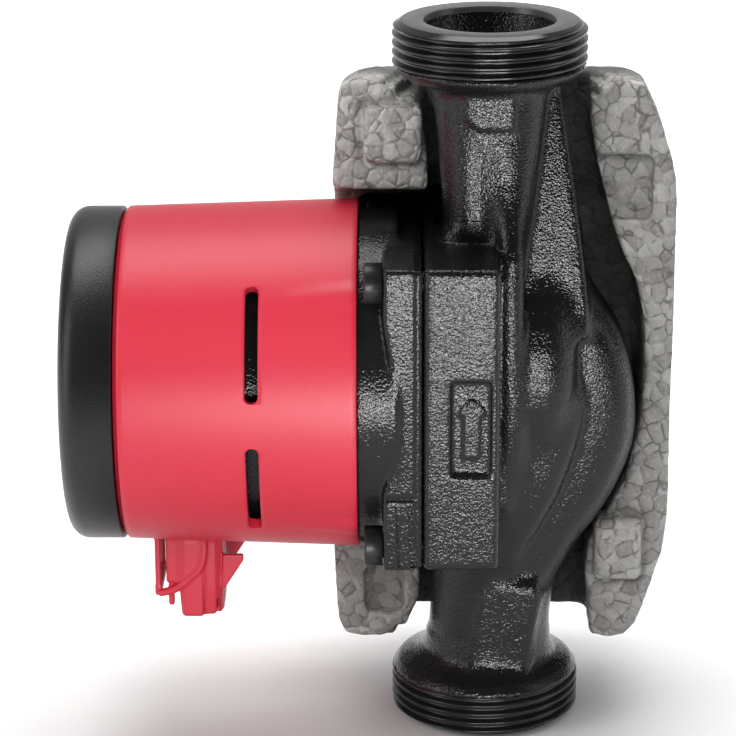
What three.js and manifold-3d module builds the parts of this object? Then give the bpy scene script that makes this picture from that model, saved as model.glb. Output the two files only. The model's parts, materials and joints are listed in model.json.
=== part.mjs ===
// A wet-rotor circulator pump with threaded inline ports, seen with one half of its foam insulation.
// Units are millimetres. +Z runs up the pipe, the motor points along -X and the origin is the
// crossing of the pipe axis and the motor axis, halfway between the two port faces.

import * as THREE from 'three';
import { mergeVertices } from 'three/addons/utils/BufferGeometryUtils.js';
import Module from 'manifold-3d';

const wasm = await Module();
wasm.setup();

// ---- driving dimensions -------------------------------------------------------------------

const GAP = 0.3;                    // clearance between pieces that touch or cut each other
const ROUND = 48;                   // sides of the outer shells
const FINE = 32;                    // sides of a large round
const SMALL = 16;                   // sides of a small round

const PORT_HALF = 90;               // 180 mm from port face to port face
const THREAD_R = 23.9;              // G 1 1/2 external pipe thread, over its crests
const THREAD_ROOT_R = 22.5;
const THREAD_PITCH = 2.309;         // 11 threads to the inch
const THREAD_TURNS = 4;
const THREAD_RUNOUT = 1.4;          // plain length between the last crest and the port face
const PORT_FACE_R = 21.6;
const PORT_MOUTH_R = 16.2;
const PORT_FUNNEL_DEPTH = 6;
const PORT_FUNNEL_R = 13.8;
const COLLAR_R = 23.2;
const SHOULDER_Z = 78.6;            // back of the threaded collar
const SHOULDER_ROOT = [74.6, 15.6]; // height and radius where the shoulder starts to widen
const NECK_TOP_Z = 72;
const NECK_R = 14.2;
const NECK_FOOT_Z = 22;
const NECK_CENTRE_X = 0.6;
const NECK_HALF_X = 13.8;
const NECK_HALF_Y = 15.6;
const DUCT_R = 9.6;                 // water passage in the outlet neck
const SUCTION_R = 11;               // water passage in the suction elbow
const SUCTION_WALL = 4.5;

const SEAM_X = -16.2;               // joint face between the pump housing and the motor
const BLOCK_BACK_X = 2;
const BLOCK_Y = 40;
const BLOCK_Z = 38;
const BLOCK_CORNER = 4;
const SLAB_BACK_X = 6.4;            // the stepped slab behind the block
const SLAB_Y = 30;
const SLAB_Z0 = -36;
const SLAB_Z1 = 39;
const SLAB_CORNER = 6;
const DOME_X = 11;
const DOME_R = 27;
const WEB_HALF_Y = 7;
const SPIGOT_R = 29.7;
const SPIGOT_X = -14.6;
const CHAMBER_FRONT_X = -13;
const CHAMBER_BACK_X = -4;
const CHAMBER_R = 27;
const CHAMBER_GROWTH = 5.5;         // how much the volute widens over one turn
const VOLUTE_STEPS = 32;
const GASKET_IN_R = 30.9;
const GASKET_OUT_R = 33.9;
const GASKET_DEPTH = 1.8;
const ARROW_RECESS = [-10.2, 0.4, -13.6, 10];   // x and z limits on the near face of the block
const ARROW_RECESS_CORNER = 1.4;
const ARROW_RECESS_DEPTH = 1.2;
const ARROW_TOP = 0.4;              // how far the arrow stays below the face

const BOLT_Y = 34.5;
const BOLT_Z = 33.4;
const BOLT_R = 3;
const BOLT_HEAD_R = 4.9;
const BOLT_HEAD_X = -30.5;
const LUG_X = -25.8;                // seat of the bolt heads
const BOLT_TIP_X = -6.5;
const LUG_R = 8.4;
const HEX_FLATS = 5;
const HEX_DEPTH = 2.6;
const HEAD_CHAMFER = 0.5;

const FLANGE_X = -22.5;
const MOTOR_R = 41.4;
const MOTOR_FRONT_X = -31.9;
const STATOR_CASE_R = 37.4;
const STATOR_CASE_X = -70;
const STATOR_BORE_R = 34.8;
const CASE_FLOOR_X = -28.6;

const SHELL_LEFT_X = -90.5;
const SHELL_RIGHT_X = -32.2;
const SHELL_LEFT_R = 41.8;
const SHELL_RIGHT_R = 43.7;
const SHELL_WALL = 2;
const SHELL_STEP = 1.2;             // how far the shell's left rim steps in
const SHELL_RIM = 0.9;
const SLOT_X = -57.3;
const SLOT_WIDTH = 3.2;
const SLOT_FROM = 7.5;              // degrees from the horizontal
const SLOT_TO = 46.5;
const SLOT_BLOCKS = 7;
const SLOT_CUT_FROM = 38;           // radii that a slot is cut between
const SLOT_CUT_TO = 47;

const SOCKET_X0 = -78;              // the power socket under the shell
const SOCKET_X1 = -66.4;
const SOCKET_HALF_Y = 9.5;
const SOCKET_Z = -62.7;
const SOCKET_TOP_Z = -38;
const SOCKET_CEILING_Z = -46;
const SOCKET_CORNER = 3;
const SOCKET_WALL_X = 1.6;
const SOCKET_WALL_Y = 1.8;
const RAIL_X = -84.4;
const RAIL_Y = 8.2;
const RAIL_HALF = 1.2;
const RAIL_Z = -57;
const BRIDGE_X = -82.8;
const BRIDGE_HALF_Y = 9;
const BRIDGE_Z0 = -58;
const BRIDGE_Z1 = -54;
const WING_HALF = 0.9;
const PIN_X = -72.2;
const PIN_HALF_X = 0.5;
const PIN_HALF_Y = 1;
const PIN_TIP_Z = -54.8;
const PIN_TOP_Z = -37.6;
const PIN_PLACES = [-4.6, 0, 4.6];

const COVER_X = -104;
const COVER_WALL = 2.4;
const COVER_EDGE = 4.5;
const PANEL_R = 33;
const COVER_FLOOR = 4;              // thickness of the front wall
const PANEL_THICK = 1.4;
const PANEL_SET_BACK = 0.1;
const BUTTON_R = 6.5;
const BUTTON_CHAMFER = 0.6;
const BUTTON_LIP = 1.2;             // the head overhangs the stem by this much
const BUTTON_STEM = 4;
const PLUNGER_R = 1.6;
const PLUNGER_X = -91.4;
const BUTTON_Z = -14;
const BUTTON_TRAVEL = 0.8;
const LIGHT_ANGLES = [-48, -24, 0, 24, 48];
const LIGHT_RADIUS = 22;
const LIGHT_HALF_LENGTH = 2.6;
const LIGHT_HALF_WIDTH = 1;
const LIGHT_DEPTH = 5;

const SEAL_X = [-90.2, -89];
const SEAL_R = [36.2, 38.1];
const BOARD_X = -86.5;
const BOARD_THICK = 1.6;
const BOARD_R = 36.6;
const PARTS_X = BOARD_X + BOARD_THICK + GAP;    // components stand on the board from here
const SWITCH_HALF = 3;
const SWITCH_HEIGHT = 4;
const CAPACITOR_R = 7;
const CAPACITOR_END_X = -71.5;
const CHOKE_R = [4, 9];
const CHOKE_END_X = -75.5;
const MODULE_END_X = -80.5;
const MODULE_HALF_Y = 14;
const MODULE_Z = [-18, -4];

const CAN_R = 16.6;
const CAN_WALL = 0.6;
const CAN_END_X = -61.5;
const CAN_CUP_R = 8.2;
const CAN_CUP_X = -69;
const CAN_FLANGE_R = 26.5;
const CAN_FLANGE_X = -17.2;
const CAN_FLANGE_BACK_X = -16.5;
const SHAFT_R = 3;
const SHAFT_FROM_X = -67.5;
const SHAFT_TO_X = -4;
const RUNNING_GAP = 0.12;
const MAGNET_X = [-58, -33];
const MAGNET_R = 14.4;
const SLEEVE_X = [-58.2, -32.8];
const SLEEVE_R = [14.7, 15.2];
const RETAINER_X = [-31.8, -29.2];
const RETAINER_R = 8.4;
const THRUST_X = [-28.9, -26.4];
const THRUST_R = 8;
const FRONT_BEARING_X = [-25.4, -15.2];
const FRONT_BEARING_R = 7.2;
const REAR_BEARING_X = [-68, -61.4];
const REAR_BEARING_R = 7.3;
const PLATE_R = 26.2;
const PLATE_X = [-16.1, -14.9];
const PLATE_SLEEVE_X = -25.6;
const PLATE_SLEEVE_R = [7.5, 9];

const IMPELLER_R = 24.5;
const HUB_FACE_X = -13.6;
const HUB_THICK = 1.6;
const VANE_HEIGHT = 4.4;
const VANE_COUNT = 7;
const VANE_TURN = 1.25;             // radians that a vane sweeps backwards from hub to rim
const EYE_R = 9.8;
const EYE_COLLAR_R = 11.3;
const EYE_END_X = 0.6;
const HUB_CONE = [[10.4, -12], [6.4, -8.5], [5.6, -5.4]];   // radius and x down the hub's nose
const VANE_FROM_R = 11.6;
const VANE_TO_R = 23.9;
const VANE_HALF_THICK = 0.7;
const VANE_STEPS = 6;
const SHROUD_THICK = 1.3;
const NECK_RING_R = 11.75;
const NECK_RING_WALL = 1.9;
const NECK_RING_X = [-3.4, 1.4];

const STATOR_X0 = -60;
const STATOR_X1 = -34;
const STATOR_R = 34.4;
const STATOR_YOKE_R = 28.6;
const TOOTH_TIP_R = 17.2;
const TOOTH_WIDTH = 7;
const TOOTH_COUNT = 6;
const SHOE_HALF = 7.2;
const SHOE_THICK = 2.2;
const COIL_OVERHANG = 4.2;
const COIL_BUILD = 3.6;
const COIL_CORNER = 3.2;
const COIL_FROM_R = 19.8;
const COIL_TO_R = 27.4;

const FOAM_SEAM_Y = 0.3;            // split face of the insulation half
const FOAM_DEPTH = 54;
const FOAM_POCKET_X = [-32.4, 11];
const FOAM_POCKET_Y = 41.2;
const FOAM_POCKET_Z = 39.4;
const FOAM_POCKET_CORNER = 4.5;
const MOTOR_OPENING_R = 46.6;
const MOTOR_OPENING_X = 5;
const PEG_HEIGHT = 4.3;
const PEG_CORNER = 3;
const BEYOND = 60;                  // cutters reach this far past the foam

// ---- materials ----------------------------------------------------------------------------

function material(color, roughness, metalness) {
  return new THREE.MeshStandardMaterial({ color, roughness, metalness });
}

const castIron = material(0x1b1b1d, 0.42, 0.35);
const castAluminium = material(0x202022, 0.55, 0.3);
const redPlastic = material(0xd8283c, 0.45, 0);
const blackPlastic = material(0x1c1c1e, 0.6, 0);
const panelPlastic = material(0x2a2b2e, 0.3, 0);
const lensPlastic = material(0x86c98a, 0.2, 0);
const foam = material(0x99968f, 0.95, 0);
const rubber = material(0x111111, 0.8, 0);
const steel = material(0xb9bcc0, 0.3, 1);
const darkSteel = material(0x3a3a3d, 0.45, 0.9);
const copper = material(0xb0602c, 0.35, 1);
const ceramic = material(0xe9e6df, 0.25, 0);
const carbon = material(0x2b2b2d, 0.5, 0.1);
const impellerPlastic = material(0xd9d4c4, 0.45, 0);
const magnet = material(0x55565a, 0.5, 0.6);
const circuit = material(0x1f6b3c, 0.5, 0);
const aluminiumCan = material(0x9fa4aa, 0.35, 0.9);
const brass = material(0xc9a24a, 0.3, 1);

// ---- making and joining solids ------------------------------------------------------------

function signedVolume(positions, index) {
  let total = 0;
  const a = new THREE.Vector3();
  const b = new THREE.Vector3();
  const c = new THREE.Vector3();
  for (let i = 0; i < index.length; i += 3) {
    a.fromArray(positions, 3 * index[i]);
    b.fromArray(positions, 3 * index[i + 1]);
    c.fromArray(positions, 3 * index[i + 2]);
    total += a.dot(b.cross(c));
  }
  return total;
}

function solid(geometry) {
  const bare = geometry.clone();
  bare.deleteAttribute('normal');
  bare.deleteAttribute('uv');
  const merged = mergeVertices(bare, 1e-4);
  const vertProperties = new Float32Array(merged.attributes.position.array);
  const corners = Array.from(merged.index.array);
  const triangles = [];
  for (let i = 0; i < corners.length; i += 3) {
    const [a, b, c] = corners.slice(i, i + 3);
    if (a !== b && b !== c && c !== a) triangles.push(a, b, c);
  }
  if (signedVolume(vertProperties, triangles) < 0) triangles.reverse();
  const triVerts = new Uint32Array(triangles);
  return new wasm.Manifold(new wasm.Mesh({ numProp: 3, vertProperties, triVerts }));
}

function join(pieces) {
  return pieces.reduce((whole, piece) => whole.add(piece));
}

function cut(whole, tools) {
  return tools.reduce((rest, tool) => rest.subtract(tool), whole);
}

function common(pieces) {
  return pieces.reduce((whole, piece) => whole.intersect(piece));
}

const assembly = new THREE.Group();

function place(name, body, look) {
  const mesh = body.getMesh();
  const geometry = new THREE.BufferGeometry();
  geometry.setAttribute('position', new THREE.BufferAttribute(new Float32Array(mesh.vertProperties), 3));
  geometry.setIndex(new THREE.BufferAttribute(new Uint32Array(mesh.triVerts), 1));
  geometry.computeVertexNormals();
  const piece = new THREE.Mesh(geometry, look);
  piece.name = name;
  assembly.add(piece);
}

// Turns a profile of [distance along the axis, radius] about the X axis.
function turnX(profile, sides = FINE) {
  const points = profile.map(([x, r]) => new THREE.Vector2(r, x));
  return solid(new THREE.LatheGeometry(points, sides).rotateZ(-Math.PI / 2));
}

function turnZ(profile, sides = FINE) {
  const points = profile.map(([z, r]) => new THREE.Vector2(r, z));
  return solid(new THREE.LatheGeometry(points, sides).rotateX(Math.PI / 2));
}

function discX(x0, x1, r, sides = FINE) {
  return turnX([[x0, 0], [x0, r], [x1, r], [x1, 0]], sides);
}

function ringX(x0, x1, inner, outer, sides = FINE) {
  return turnX([[x0, inner], [x0, outer], [x1, outer], [x1, inner], [x0, inner]], sides);
}

function box(x0, x1, y0, y1, z0, z1) {
  const geometry = new THREE.BoxGeometry(x1 - x0, y1 - y0, z1 - z0);
  return solid(geometry.translate((x0 + x1) / 2, (y0 + y1) / 2, (z0 + z1) / 2));
}

function extrude(shape, length, curveSegments) {
  return new THREE.ExtrudeGeometry(shape, { depth: length, bevelEnabled: false, curveSegments });
}

// A shape drawn in (y, z), stretched from x0 to x1.
function extrudeX(shape, x0, x1, curveSegments = 8) {
  const turn = new THREE.Matrix4().makeBasis(
    new THREE.Vector3(0, 1, 0), new THREE.Vector3(0, 0, 1), new THREE.Vector3(1, 0, 0));
  return solid(extrude(shape, x1 - x0, curveSegments).applyMatrix4(turn).translate(x0, 0, 0));
}

// A shape drawn in (x, z), stretched from y0 to y1.
function extrudeY(shape, y0, y1, curveSegments = 8) {
  const turn = new THREE.Matrix4().makeBasis(
    new THREE.Vector3(1, 0, 0), new THREE.Vector3(0, 0, 1), new THREE.Vector3(0, -1, 0));
  return solid(extrude(shape, y1 - y0, curveSegments).applyMatrix4(turn).translate(0, y1, 0));
}

// A shape drawn in (x, y), stretched from z0 to z1.
function extrudeZ(shape, z0, z1, curveSegments = 8) {
  return solid(extrude(shape, z1 - z0, curveSegments).translate(0, 0, z0));
}

function circle(radius) {
  return new THREE.Shape().absarc(0, 0, radius, 0, 2 * Math.PI, false);
}

function tube(points, radius, steps, quarters = 8) {
  const path = new THREE.CatmullRomCurve3(points.map(([x, y, z]) => new THREE.Vector3(x, y, z)));
  return solid(new THREE.ExtrudeGeometry(circle(radius), {
    extrudePath: path, steps, bevelEnabled: false, curveSegments: quarters,
  }));
}

function roundedRectangle(u0, u1, v0, v1, r) {
  const shape = new THREE.Shape();
  shape.moveTo(u0 + r, v0);
  shape.lineTo(u1 - r, v0);
  shape.absarc(u1 - r, v0 + r, r, -Math.PI / 2, 0, false);
  shape.lineTo(u1, v1 - r);
  shape.absarc(u1 - r, v1 - r, r, 0, Math.PI / 2, false);
  shape.lineTo(u0 + r, v1);
  shape.absarc(u0 + r, v1 - r, r, Math.PI / 2, Math.PI, false);
  shape.lineTo(u0, v0 + r);
  shape.absarc(u0 + r, v0 + r, r, Math.PI, 1.5 * Math.PI, false);
  return shape;
}

function outline(points) {
  return new THREE.Shape(points.map(([u, v]) => new THREE.Vector2(u, v)));
}

function rad(degrees) {
  return degrees * Math.PI / 180;
}

// The square face that the pump housing and the motor flange share.
function blockFace() {
  return roundedRectangle(-BLOCK_Y, BLOCK_Y, -BLOCK_Z, BLOCK_Z, BLOCK_CORNER);
}

const BOLT_PLACES = [[-1, 1], [1, 1], [-1, -1], [1, -1]].map(([y, z]) => [y * BOLT_Y, z * BOLT_Z]);

// A round bar along X through each of the four bolt places.
function atBolts(x0, x1, r) {
  return join(BOLT_PLACES.map(([y, z]) => discX(x0, x1, r, SMALL).translate(0, y, z)));
}

// ---- cast pump housing --------------------------------------------------------------------

// The middle of the suction passage, from the lower port round to the impeller eye.
const SUCTION_PATH = [
  [0, 0, -76], [1.5, 0, -62], [4.5, 0, -50], [10, 0, -38], [17, 0, -26],
  [21.5, 0, -13], [18.5, 0, -3], [10, 0, 0], [2.2, 0, 0],
];
const SUCTION_EYE = [1.6, 0, 0];
const SUCTION_STEPS = 15;
const OUTLET_PATH = [[-8, 14, 14], [-6, 10, 28], [-2, 2, 45], [0, 0, 60], [0, 0, 76]];

function threadedCollar(sign) {
  const profile = [[NECK_TOP_Z, 0], [NECK_TOP_Z, NECK_R], SHOULDER_ROOT, [SHOULDER_Z, COLLAR_R]];
  const start = PORT_HALF - THREAD_RUNOUT - THREAD_TURNS * THREAD_PITCH;
  for (let turn = 0; turn < THREAD_TURNS; turn += 1) {
    const z = start + turn * THREAD_PITCH;
    profile.push([z, THREAD_ROOT_R], [z + THREAD_PITCH / 2, THREAD_R]);
  }
  profile.push([PORT_HALF - THREAD_RUNOUT, THREAD_ROOT_R + 0.4]);
  profile.push([PORT_HALF, PORT_FACE_R], [PORT_HALF, 0]);
  return turnZ(profile.map(([z, r]) => [sign * z, r]));
}

function portFunnel(sign, throat) {
  const profile = [
    [NECK_TOP_Z, 0], [NECK_TOP_Z, throat], [PORT_HALF - PORT_FUNNEL_DEPTH, PORT_FUNNEL_R],
    [PORT_HALF, PORT_MOUTH_R], [PORT_HALF + 1, PORT_MOUTH_R], [PORT_HALF + 1, 0],
  ];
  return turnZ(profile.map(([z, r]) => [sign * z, r]));
}

// The chamber around the impeller widens steadily towards the outlet neck.
function voluteShape() {
  const shape = new THREE.Shape();
  for (let i = 0; i < VOLUTE_STEPS; i += 1) {
    const turn = i / VOLUTE_STEPS;
    const angle = Math.PI / 2 - 2 * Math.PI * turn;
    const radius = CHAMBER_R + CHAMBER_GROWTH * turn;
    const point = [radius * Math.cos(angle), radius * Math.sin(angle)];
    if (i === 0) shape.moveTo(...point);
    else shape.lineTo(...point);
  }
  return shape;
}

// The flat rib that ties the outlet neck to the suction elbow, in (x, z).
const WEB_OUTLINE = [[4, 76], [16.6, 76], [20.2, 52], [23.6, 26], [27.5, 12], [14, -8], [-4, 20]];

// Raised flow arrow, in (x, z), pointing at the outlet.
const ARROW_OUTLINE = [
  [-4.9, 8], [-1.6, 2], [-3.6, 2], [-3.6, -11], [-6.2, -11], [-6.2, 2], [-8.2, 2],
];

function neckShape() {
  const shape = new THREE.Shape();
  return shape.absellipse(NECK_CENTRE_X, 0, NECK_HALF_X, NECK_HALF_Y, 0, 2 * Math.PI, false, 0);
}

function castingOutside() {
  const slab = roundedRectangle(-SLAB_Y, SLAB_Y, SLAB_Z0, SLAB_Z1, SLAB_CORNER);
  return join([
    threadedCollar(1),
    threadedCollar(-1),
    extrudeZ(neckShape(), NECK_FOOT_Z, NECK_TOP_Z + 3, 9),
    extrudeX(blockFace(), SEAM_X, BLOCK_BACK_X),
    extrudeX(slab, BLOCK_BACK_X - 1, SLAB_BACK_X, 4),
    discX(BLOCK_BACK_X, DOME_X, DOME_R),
    extrudeY(outline(WEB_OUTLINE), -WEB_HALF_Y, WEB_HALF_Y),
    tube(SUCTION_PATH, SUCTION_R + SUCTION_WALL, SUCTION_STEPS),
  ]);
}

function pumpHousing() {
  const recess = roundedRectangle(...ARROW_RECESS, ARROW_RECESS_CORNER);
  const hollow = cut(castingOutside(), [
    portFunnel(1, DUCT_R + 0.6),
    portFunnel(-1, SUCTION_R + 0.4),
    tube(OUTLET_PATH, DUCT_R, 8),
    tube([...SUCTION_PATH.slice(0, -1), SUCTION_EYE], SUCTION_R, SUCTION_STEPS),
    discX(SEAM_X - 1, CHAMBER_FRONT_X + 0.5, SPIGOT_R + GAP),
    extrudeX(voluteShape(), CHAMBER_FRONT_X, CHAMBER_BACK_X),
    discX(CHAMBER_BACK_X - 1, NECK_RING_X[1] + GAP, NECK_RING_R + NECK_RING_WALL + GAP),
    ringX(SEAM_X - 1, SEAM_X + GASKET_DEPTH, GASKET_IN_R - GAP, GASKET_OUT_R + GAP),
    atBolts(SEAM_X - 1, BOLT_TIP_X + 1, BOLT_R + GAP),
    extrudeY(recess, -BLOCK_Y - 1, -BLOCK_Y + ARROW_RECESS_DEPTH, 3),
  ]);
  const arrow = extrudeY(outline(ARROW_OUTLINE), -BLOCK_Y + ARROW_TOP, -BLOCK_Y + 2);
  return hollow.add(arrow);
}

place('pump_housing', pumpHousing(), castIron);
function housingGasket() {
  return ringX(SEAM_X + 0.2, SEAM_X + GASKET_DEPTH - GAP, GASKET_IN_R, GASKET_OUT_R);
}

place('housing_gasket', housingGasket(), rubber);
place('neck_ring', ringX(...NECK_RING_X, NECK_RING_R, NECK_RING_R + NECK_RING_WALL), steel);

// ---- impeller, shaft and rotor ------------------------------------------------------------

function vaneShape(turn) {
  const shape = new THREE.Shape();
  const side = (offset, from, to, step) => {
    const points = [];
    for (let i = from; i !== to + step; i += step) {
      const t = i / VANE_STEPS;
      const r = VANE_FROM_R + (VANE_TO_R - VANE_FROM_R) * t;
      const angle = turn - VANE_TURN * t + offset / r;
      points.push(new THREE.Vector2(r * Math.cos(angle), r * Math.sin(angle)));
    }
    return points;
  };
  return shape.setFromPoints([
    ...side(-VANE_HALF_THICK, 0, VANE_STEPS, 1),
    ...side(VANE_HALF_THICK, VANE_STEPS, 0, -1),
  ]);
}

const HUB_TOP_X = HUB_FACE_X + HUB_THICK;
const VANE_TOP_X = HUB_TOP_X + VANE_HEIGHT;

function impeller() {
  const noseEndX = HUB_CONE[HUB_CONE.length - 1][1];
  const hub = turnX([
    [HUB_FACE_X, 0], [HUB_FACE_X, IMPELLER_R], [HUB_TOP_X, IMPELLER_R],
    ...HUB_CONE.map(([r, x]) => [x, r]), [noseEndX, 0],
  ]);
  const vanes = [];
  for (let i = 0; i < VANE_COUNT; i += 1) {
    vanes.push(extrudeX(vaneShape(i * 2 * Math.PI / VANE_COUNT), HUB_TOP_X - 0.3, VANE_TOP_X));
  }
  const shaftHole = discX(HUB_FACE_X - 1, SHAFT_TO_X + 1, SHAFT_R + RUNNING_GAP, SMALL);
  return cut(join([hub, ...vanes]), [shaftHole]);
}

function impellerShroud() {
  const x0 = VANE_TOP_X + GAP;
  const x1 = x0 + SHROUD_THICK;
  return turnX([
    [x0, EYE_R], [x0, IMPELLER_R], [x1, IMPELLER_R], [x1 + 0.2, EYE_COLLAR_R + SHROUD_THICK],
    [x1 + SHROUD_THICK, EYE_COLLAR_R], [EYE_END_X, EYE_COLLAR_R], [EYE_END_X, EYE_R], [x0, EYE_R],
  ]);
}

// A small ring that the shaft passes through.
function onShaft([x0, x1], r) {
  return ringX(x0, x1, SHAFT_R + RUNNING_GAP, r, SMALL);
}

place('impeller', impeller(), impellerPlastic);
place('impeller_shroud', impellerShroud(), impellerPlastic);
place('rotor_shaft', discX(SHAFT_FROM_X, SHAFT_TO_X, SHAFT_R, SMALL), ceramic);
place('rotor_magnet', ringX(...MAGNET_X, SHAFT_R + RUNNING_GAP, MAGNET_R), magnet);
place('rotor_sleeve', ringX(...SLEEVE_X, ...SLEEVE_R), steel);
place('thrust_retainer', onShaft(RETAINER_X, RETAINER_R), rubber);
place('thrust_bearing', onShaft(THRUST_X, THRUST_R), ceramic);

// ---- bearings, rotor can and stator -------------------------------------------------------

function bearingPlate() {
  const [x0, x1] = PLATE_X;
  const [bore, sleeve] = PLATE_SLEEVE_R;
  return turnX([
    [PLATE_SLEEVE_X, bore], [PLATE_SLEEVE_X, sleeve], [x0, sleeve], [x0, PLATE_R],
    [x1, PLATE_R], [x1, bore], [PLATE_SLEEVE_X, bore],
  ]);
}

function rotorCan() {
  const bore = CAN_R - CAN_WALL;
  const cup = CAN_CUP_R - CAN_WALL;
  return turnX([
    [CAN_FLANGE_X, CAN_FLANGE_R], [CAN_FLANGE_BACK_X, CAN_FLANGE_R], [CAN_FLANGE_BACK_X, bore],
    [CAN_END_X + CAN_WALL, bore],
    [CAN_END_X + CAN_WALL, cup], [CAN_CUP_X + CAN_WALL, cup], [CAN_CUP_X + CAN_WALL, 0],
    [CAN_CUP_X, 0], [CAN_CUP_X, CAN_CUP_R], [CAN_END_X, CAN_CUP_R], [CAN_END_X, CAN_R],
    [CAN_FLANGE_X, CAN_R], [CAN_FLANGE_X, CAN_FLANGE_R],
  ]);
}

place('bearing_plate', bearingPlate(), steel);
place('front_bearing', onShaft(FRONT_BEARING_X, FRONT_BEARING_R), carbon);
place('rear_bearing', onShaft(REAR_BEARING_X, REAR_BEARING_R), carbon);
place('rotor_can', rotorCan(), steel);

function turnedAboutX(body, index, count) {
  return body.rotate([360 * index / count, 0, 0]);
}

function statorCore() {
  const yoke = ringX(STATOR_X0, STATOR_X1, STATOR_YOKE_R, STATOR_R);
  const half = TOOTH_WIDTH / 2;
  const stem = box(STATOR_X0, STATOR_X1, -half, half, TOOTH_TIP_R + 1, STATOR_R - 1);
  const shoe = common([
    ringX(STATOR_X0, STATOR_X1, TOOTH_TIP_R, TOOTH_TIP_R + SHOE_THICK),
    box(STATOR_X0, STATOR_X1, -SHOE_HALF, SHOE_HALF, 0, STATOR_YOKE_R),
  ]);
  const teeth = [];
  for (let i = 0; i < TOOTH_COUNT; i += 1) {
    teeth.push(turnedAboutX(stem.add(shoe), i, TOOTH_COUNT));
  }
  return join([yoke, ...teeth]);
}

function statorCoil(index) {
  const half = TOOTH_WIDTH / 2;
  const x0 = STATOR_X0 - COIL_OVERHANG;
  const x1 = STATOR_X1 + COIL_OVERHANG;
  const side = half + COIL_BUILD;
  const winding = extrudeZ(roundedRectangle(x0, x1, -side, side, COIL_CORNER), COIL_FROM_R, COIL_TO_R, 3);
  const tooth = box(STATOR_X0 - GAP, STATOR_X1 + GAP, -half - GAP, half + GAP, 0, STATOR_R);
  return turnedAboutX(winding.subtract(tooth), index, TOOTH_COUNT);
}

place('stator_core', statorCore(), darkSteel);
for (let i = 0; i < TOOTH_COUNT; i += 1) {
  place(`stator_coil_${i + 1}`, statorCoil(i), copper);
}

// ---- motor housing and its bolts ----------------------------------------------------------

function motorHousing() {
  const flange = extrudeX(blockFace(), FLANGE_X, SEAM_X - GAP);
  const lugs = common([
    atBolts(LUG_X, SEAM_X - GAP, LUG_R),
    extrudeX(blockFace(), LUG_X, SEAM_X),
  ]);
  const barrel = join([
    discX(MOTOR_FRONT_X, FLANGE_X + 1, MOTOR_R),
    discX(STATOR_CASE_X, FLANGE_X + 1, STATOR_CASE_R),
  ]);
  const spigot = discX(SEAM_X - 1, SPIGOT_X, SPIGOT_R);
  const headRoom = atBolts(BOLT_HEAD_X - 2, LUG_X, BOLT_HEAD_R + GAP);
  return cut(join([flange, lugs, barrel, spigot]), [
    headRoom,
    atBolts(LUG_X - 1, SEAM_X, BOLT_R + GAP),
    discX(STATOR_CASE_X - 1, CASE_FLOOR_X, STATOR_BORE_R),
    discX(CASE_FLOOR_X - 1, SEAM_X, CAN_R + GAP),
    discX(CAN_FLANGE_X - GAP, CHAMBER_FRONT_X, CAN_FLANGE_R + GAP),
  ]);
}

function flangeBolt([y, z]) {
  const head = turnX([
    [BOLT_HEAD_X, 0], [BOLT_HEAD_X, BOLT_HEAD_R - HEAD_CHAMFER],
    [BOLT_HEAD_X + HEAD_CHAMFER, BOLT_HEAD_R],
    [LUG_X - GAP, BOLT_HEAD_R], [LUG_X - GAP, BOLT_R], [BOLT_TIP_X, BOLT_R], [BOLT_TIP_X, 0],
  ], SMALL);
  const hexagon = discX(BOLT_HEAD_X - 1, BOLT_HEAD_X + HEX_DEPTH, HEX_FLATS / Math.sqrt(3), 6);
  return head.subtract(hexagon).translate(0, y, z);
}

place('motor_housing', motorHousing(), castAluminium);
BOLT_PLACES.forEach((spot, i) => place(`flange_bolt_${i + 1}`, flangeBolt(spot), darkSteel));

// ---- red electronics housing with its power socket ----------------------------------------

// A slot that runs round the shell, made of short blocks that overlap a little.
function ventSlot(from, to) {
  const pace = (to - from) / SLOT_BLOCKS;
  const half = 0.56 * rad(pace) * SHELL_RIGHT_R;
  const side = SLOT_WIDTH / 2;
  const block = box(SLOT_X - side, SLOT_X + side, SLOT_CUT_FROM, SLOT_CUT_TO, -half, half);
  const blocks = [];
  for (let i = 0; i < SLOT_BLOCKS; i += 1) {
    blocks.push(block.rotate([from + pace * (i + 0.5), 0, 0]));
  }
  return join(blocks);
}

function ventSlots() {
  const slots = [];
  for (const side of [0, 180]) {
    slots.push(ventSlot(side + SLOT_FROM, side + SLOT_TO), ventSlot(side - SLOT_TO, side - SLOT_FROM));
  }
  return join(slots);
}

function pin(y, spare, z0, z1) {
  const halfX = PIN_HALF_X + spare;
  const halfY = PIN_HALF_Y + spare;
  return box(PIN_X - halfX, PIN_X + halfX, y - halfY, y + halfY, z0, z1);
}

// The latch wing beside the plug, in (x, z).
const WING_OUTLINE = [[SOCKET_X1 - 1, -47], [-61.8, -47], [-61.8, -48.8], [SOCKET_X1 - 1, -56]];

function powerSocketOuter() {
  const plan = roundedRectangle(SOCKET_X0, SOCKET_X1, -SOCKET_HALF_Y, SOCKET_HALF_Y, SOCKET_CORNER);
  const rails = [];
  for (const y of [-RAIL_Y, RAIL_Y]) {
    rails.push(box(RAIL_X, SOCKET_X0 + 1, y - RAIL_HALF, y + RAIL_HALF, RAIL_Z, SOCKET_TOP_Z));
    rails.push(extrudeY(outline(WING_OUTLINE), y - WING_HALF, y + WING_HALF));
  }
  const bridge = box(RAIL_X, BRIDGE_X, -BRIDGE_HALF_Y, BRIDGE_HALF_Y, BRIDGE_Z0, BRIDGE_Z1);
  return join([extrudeZ(plan, SOCKET_Z, SOCKET_TOP_Z), bridge, ...rails]);
}

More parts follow.
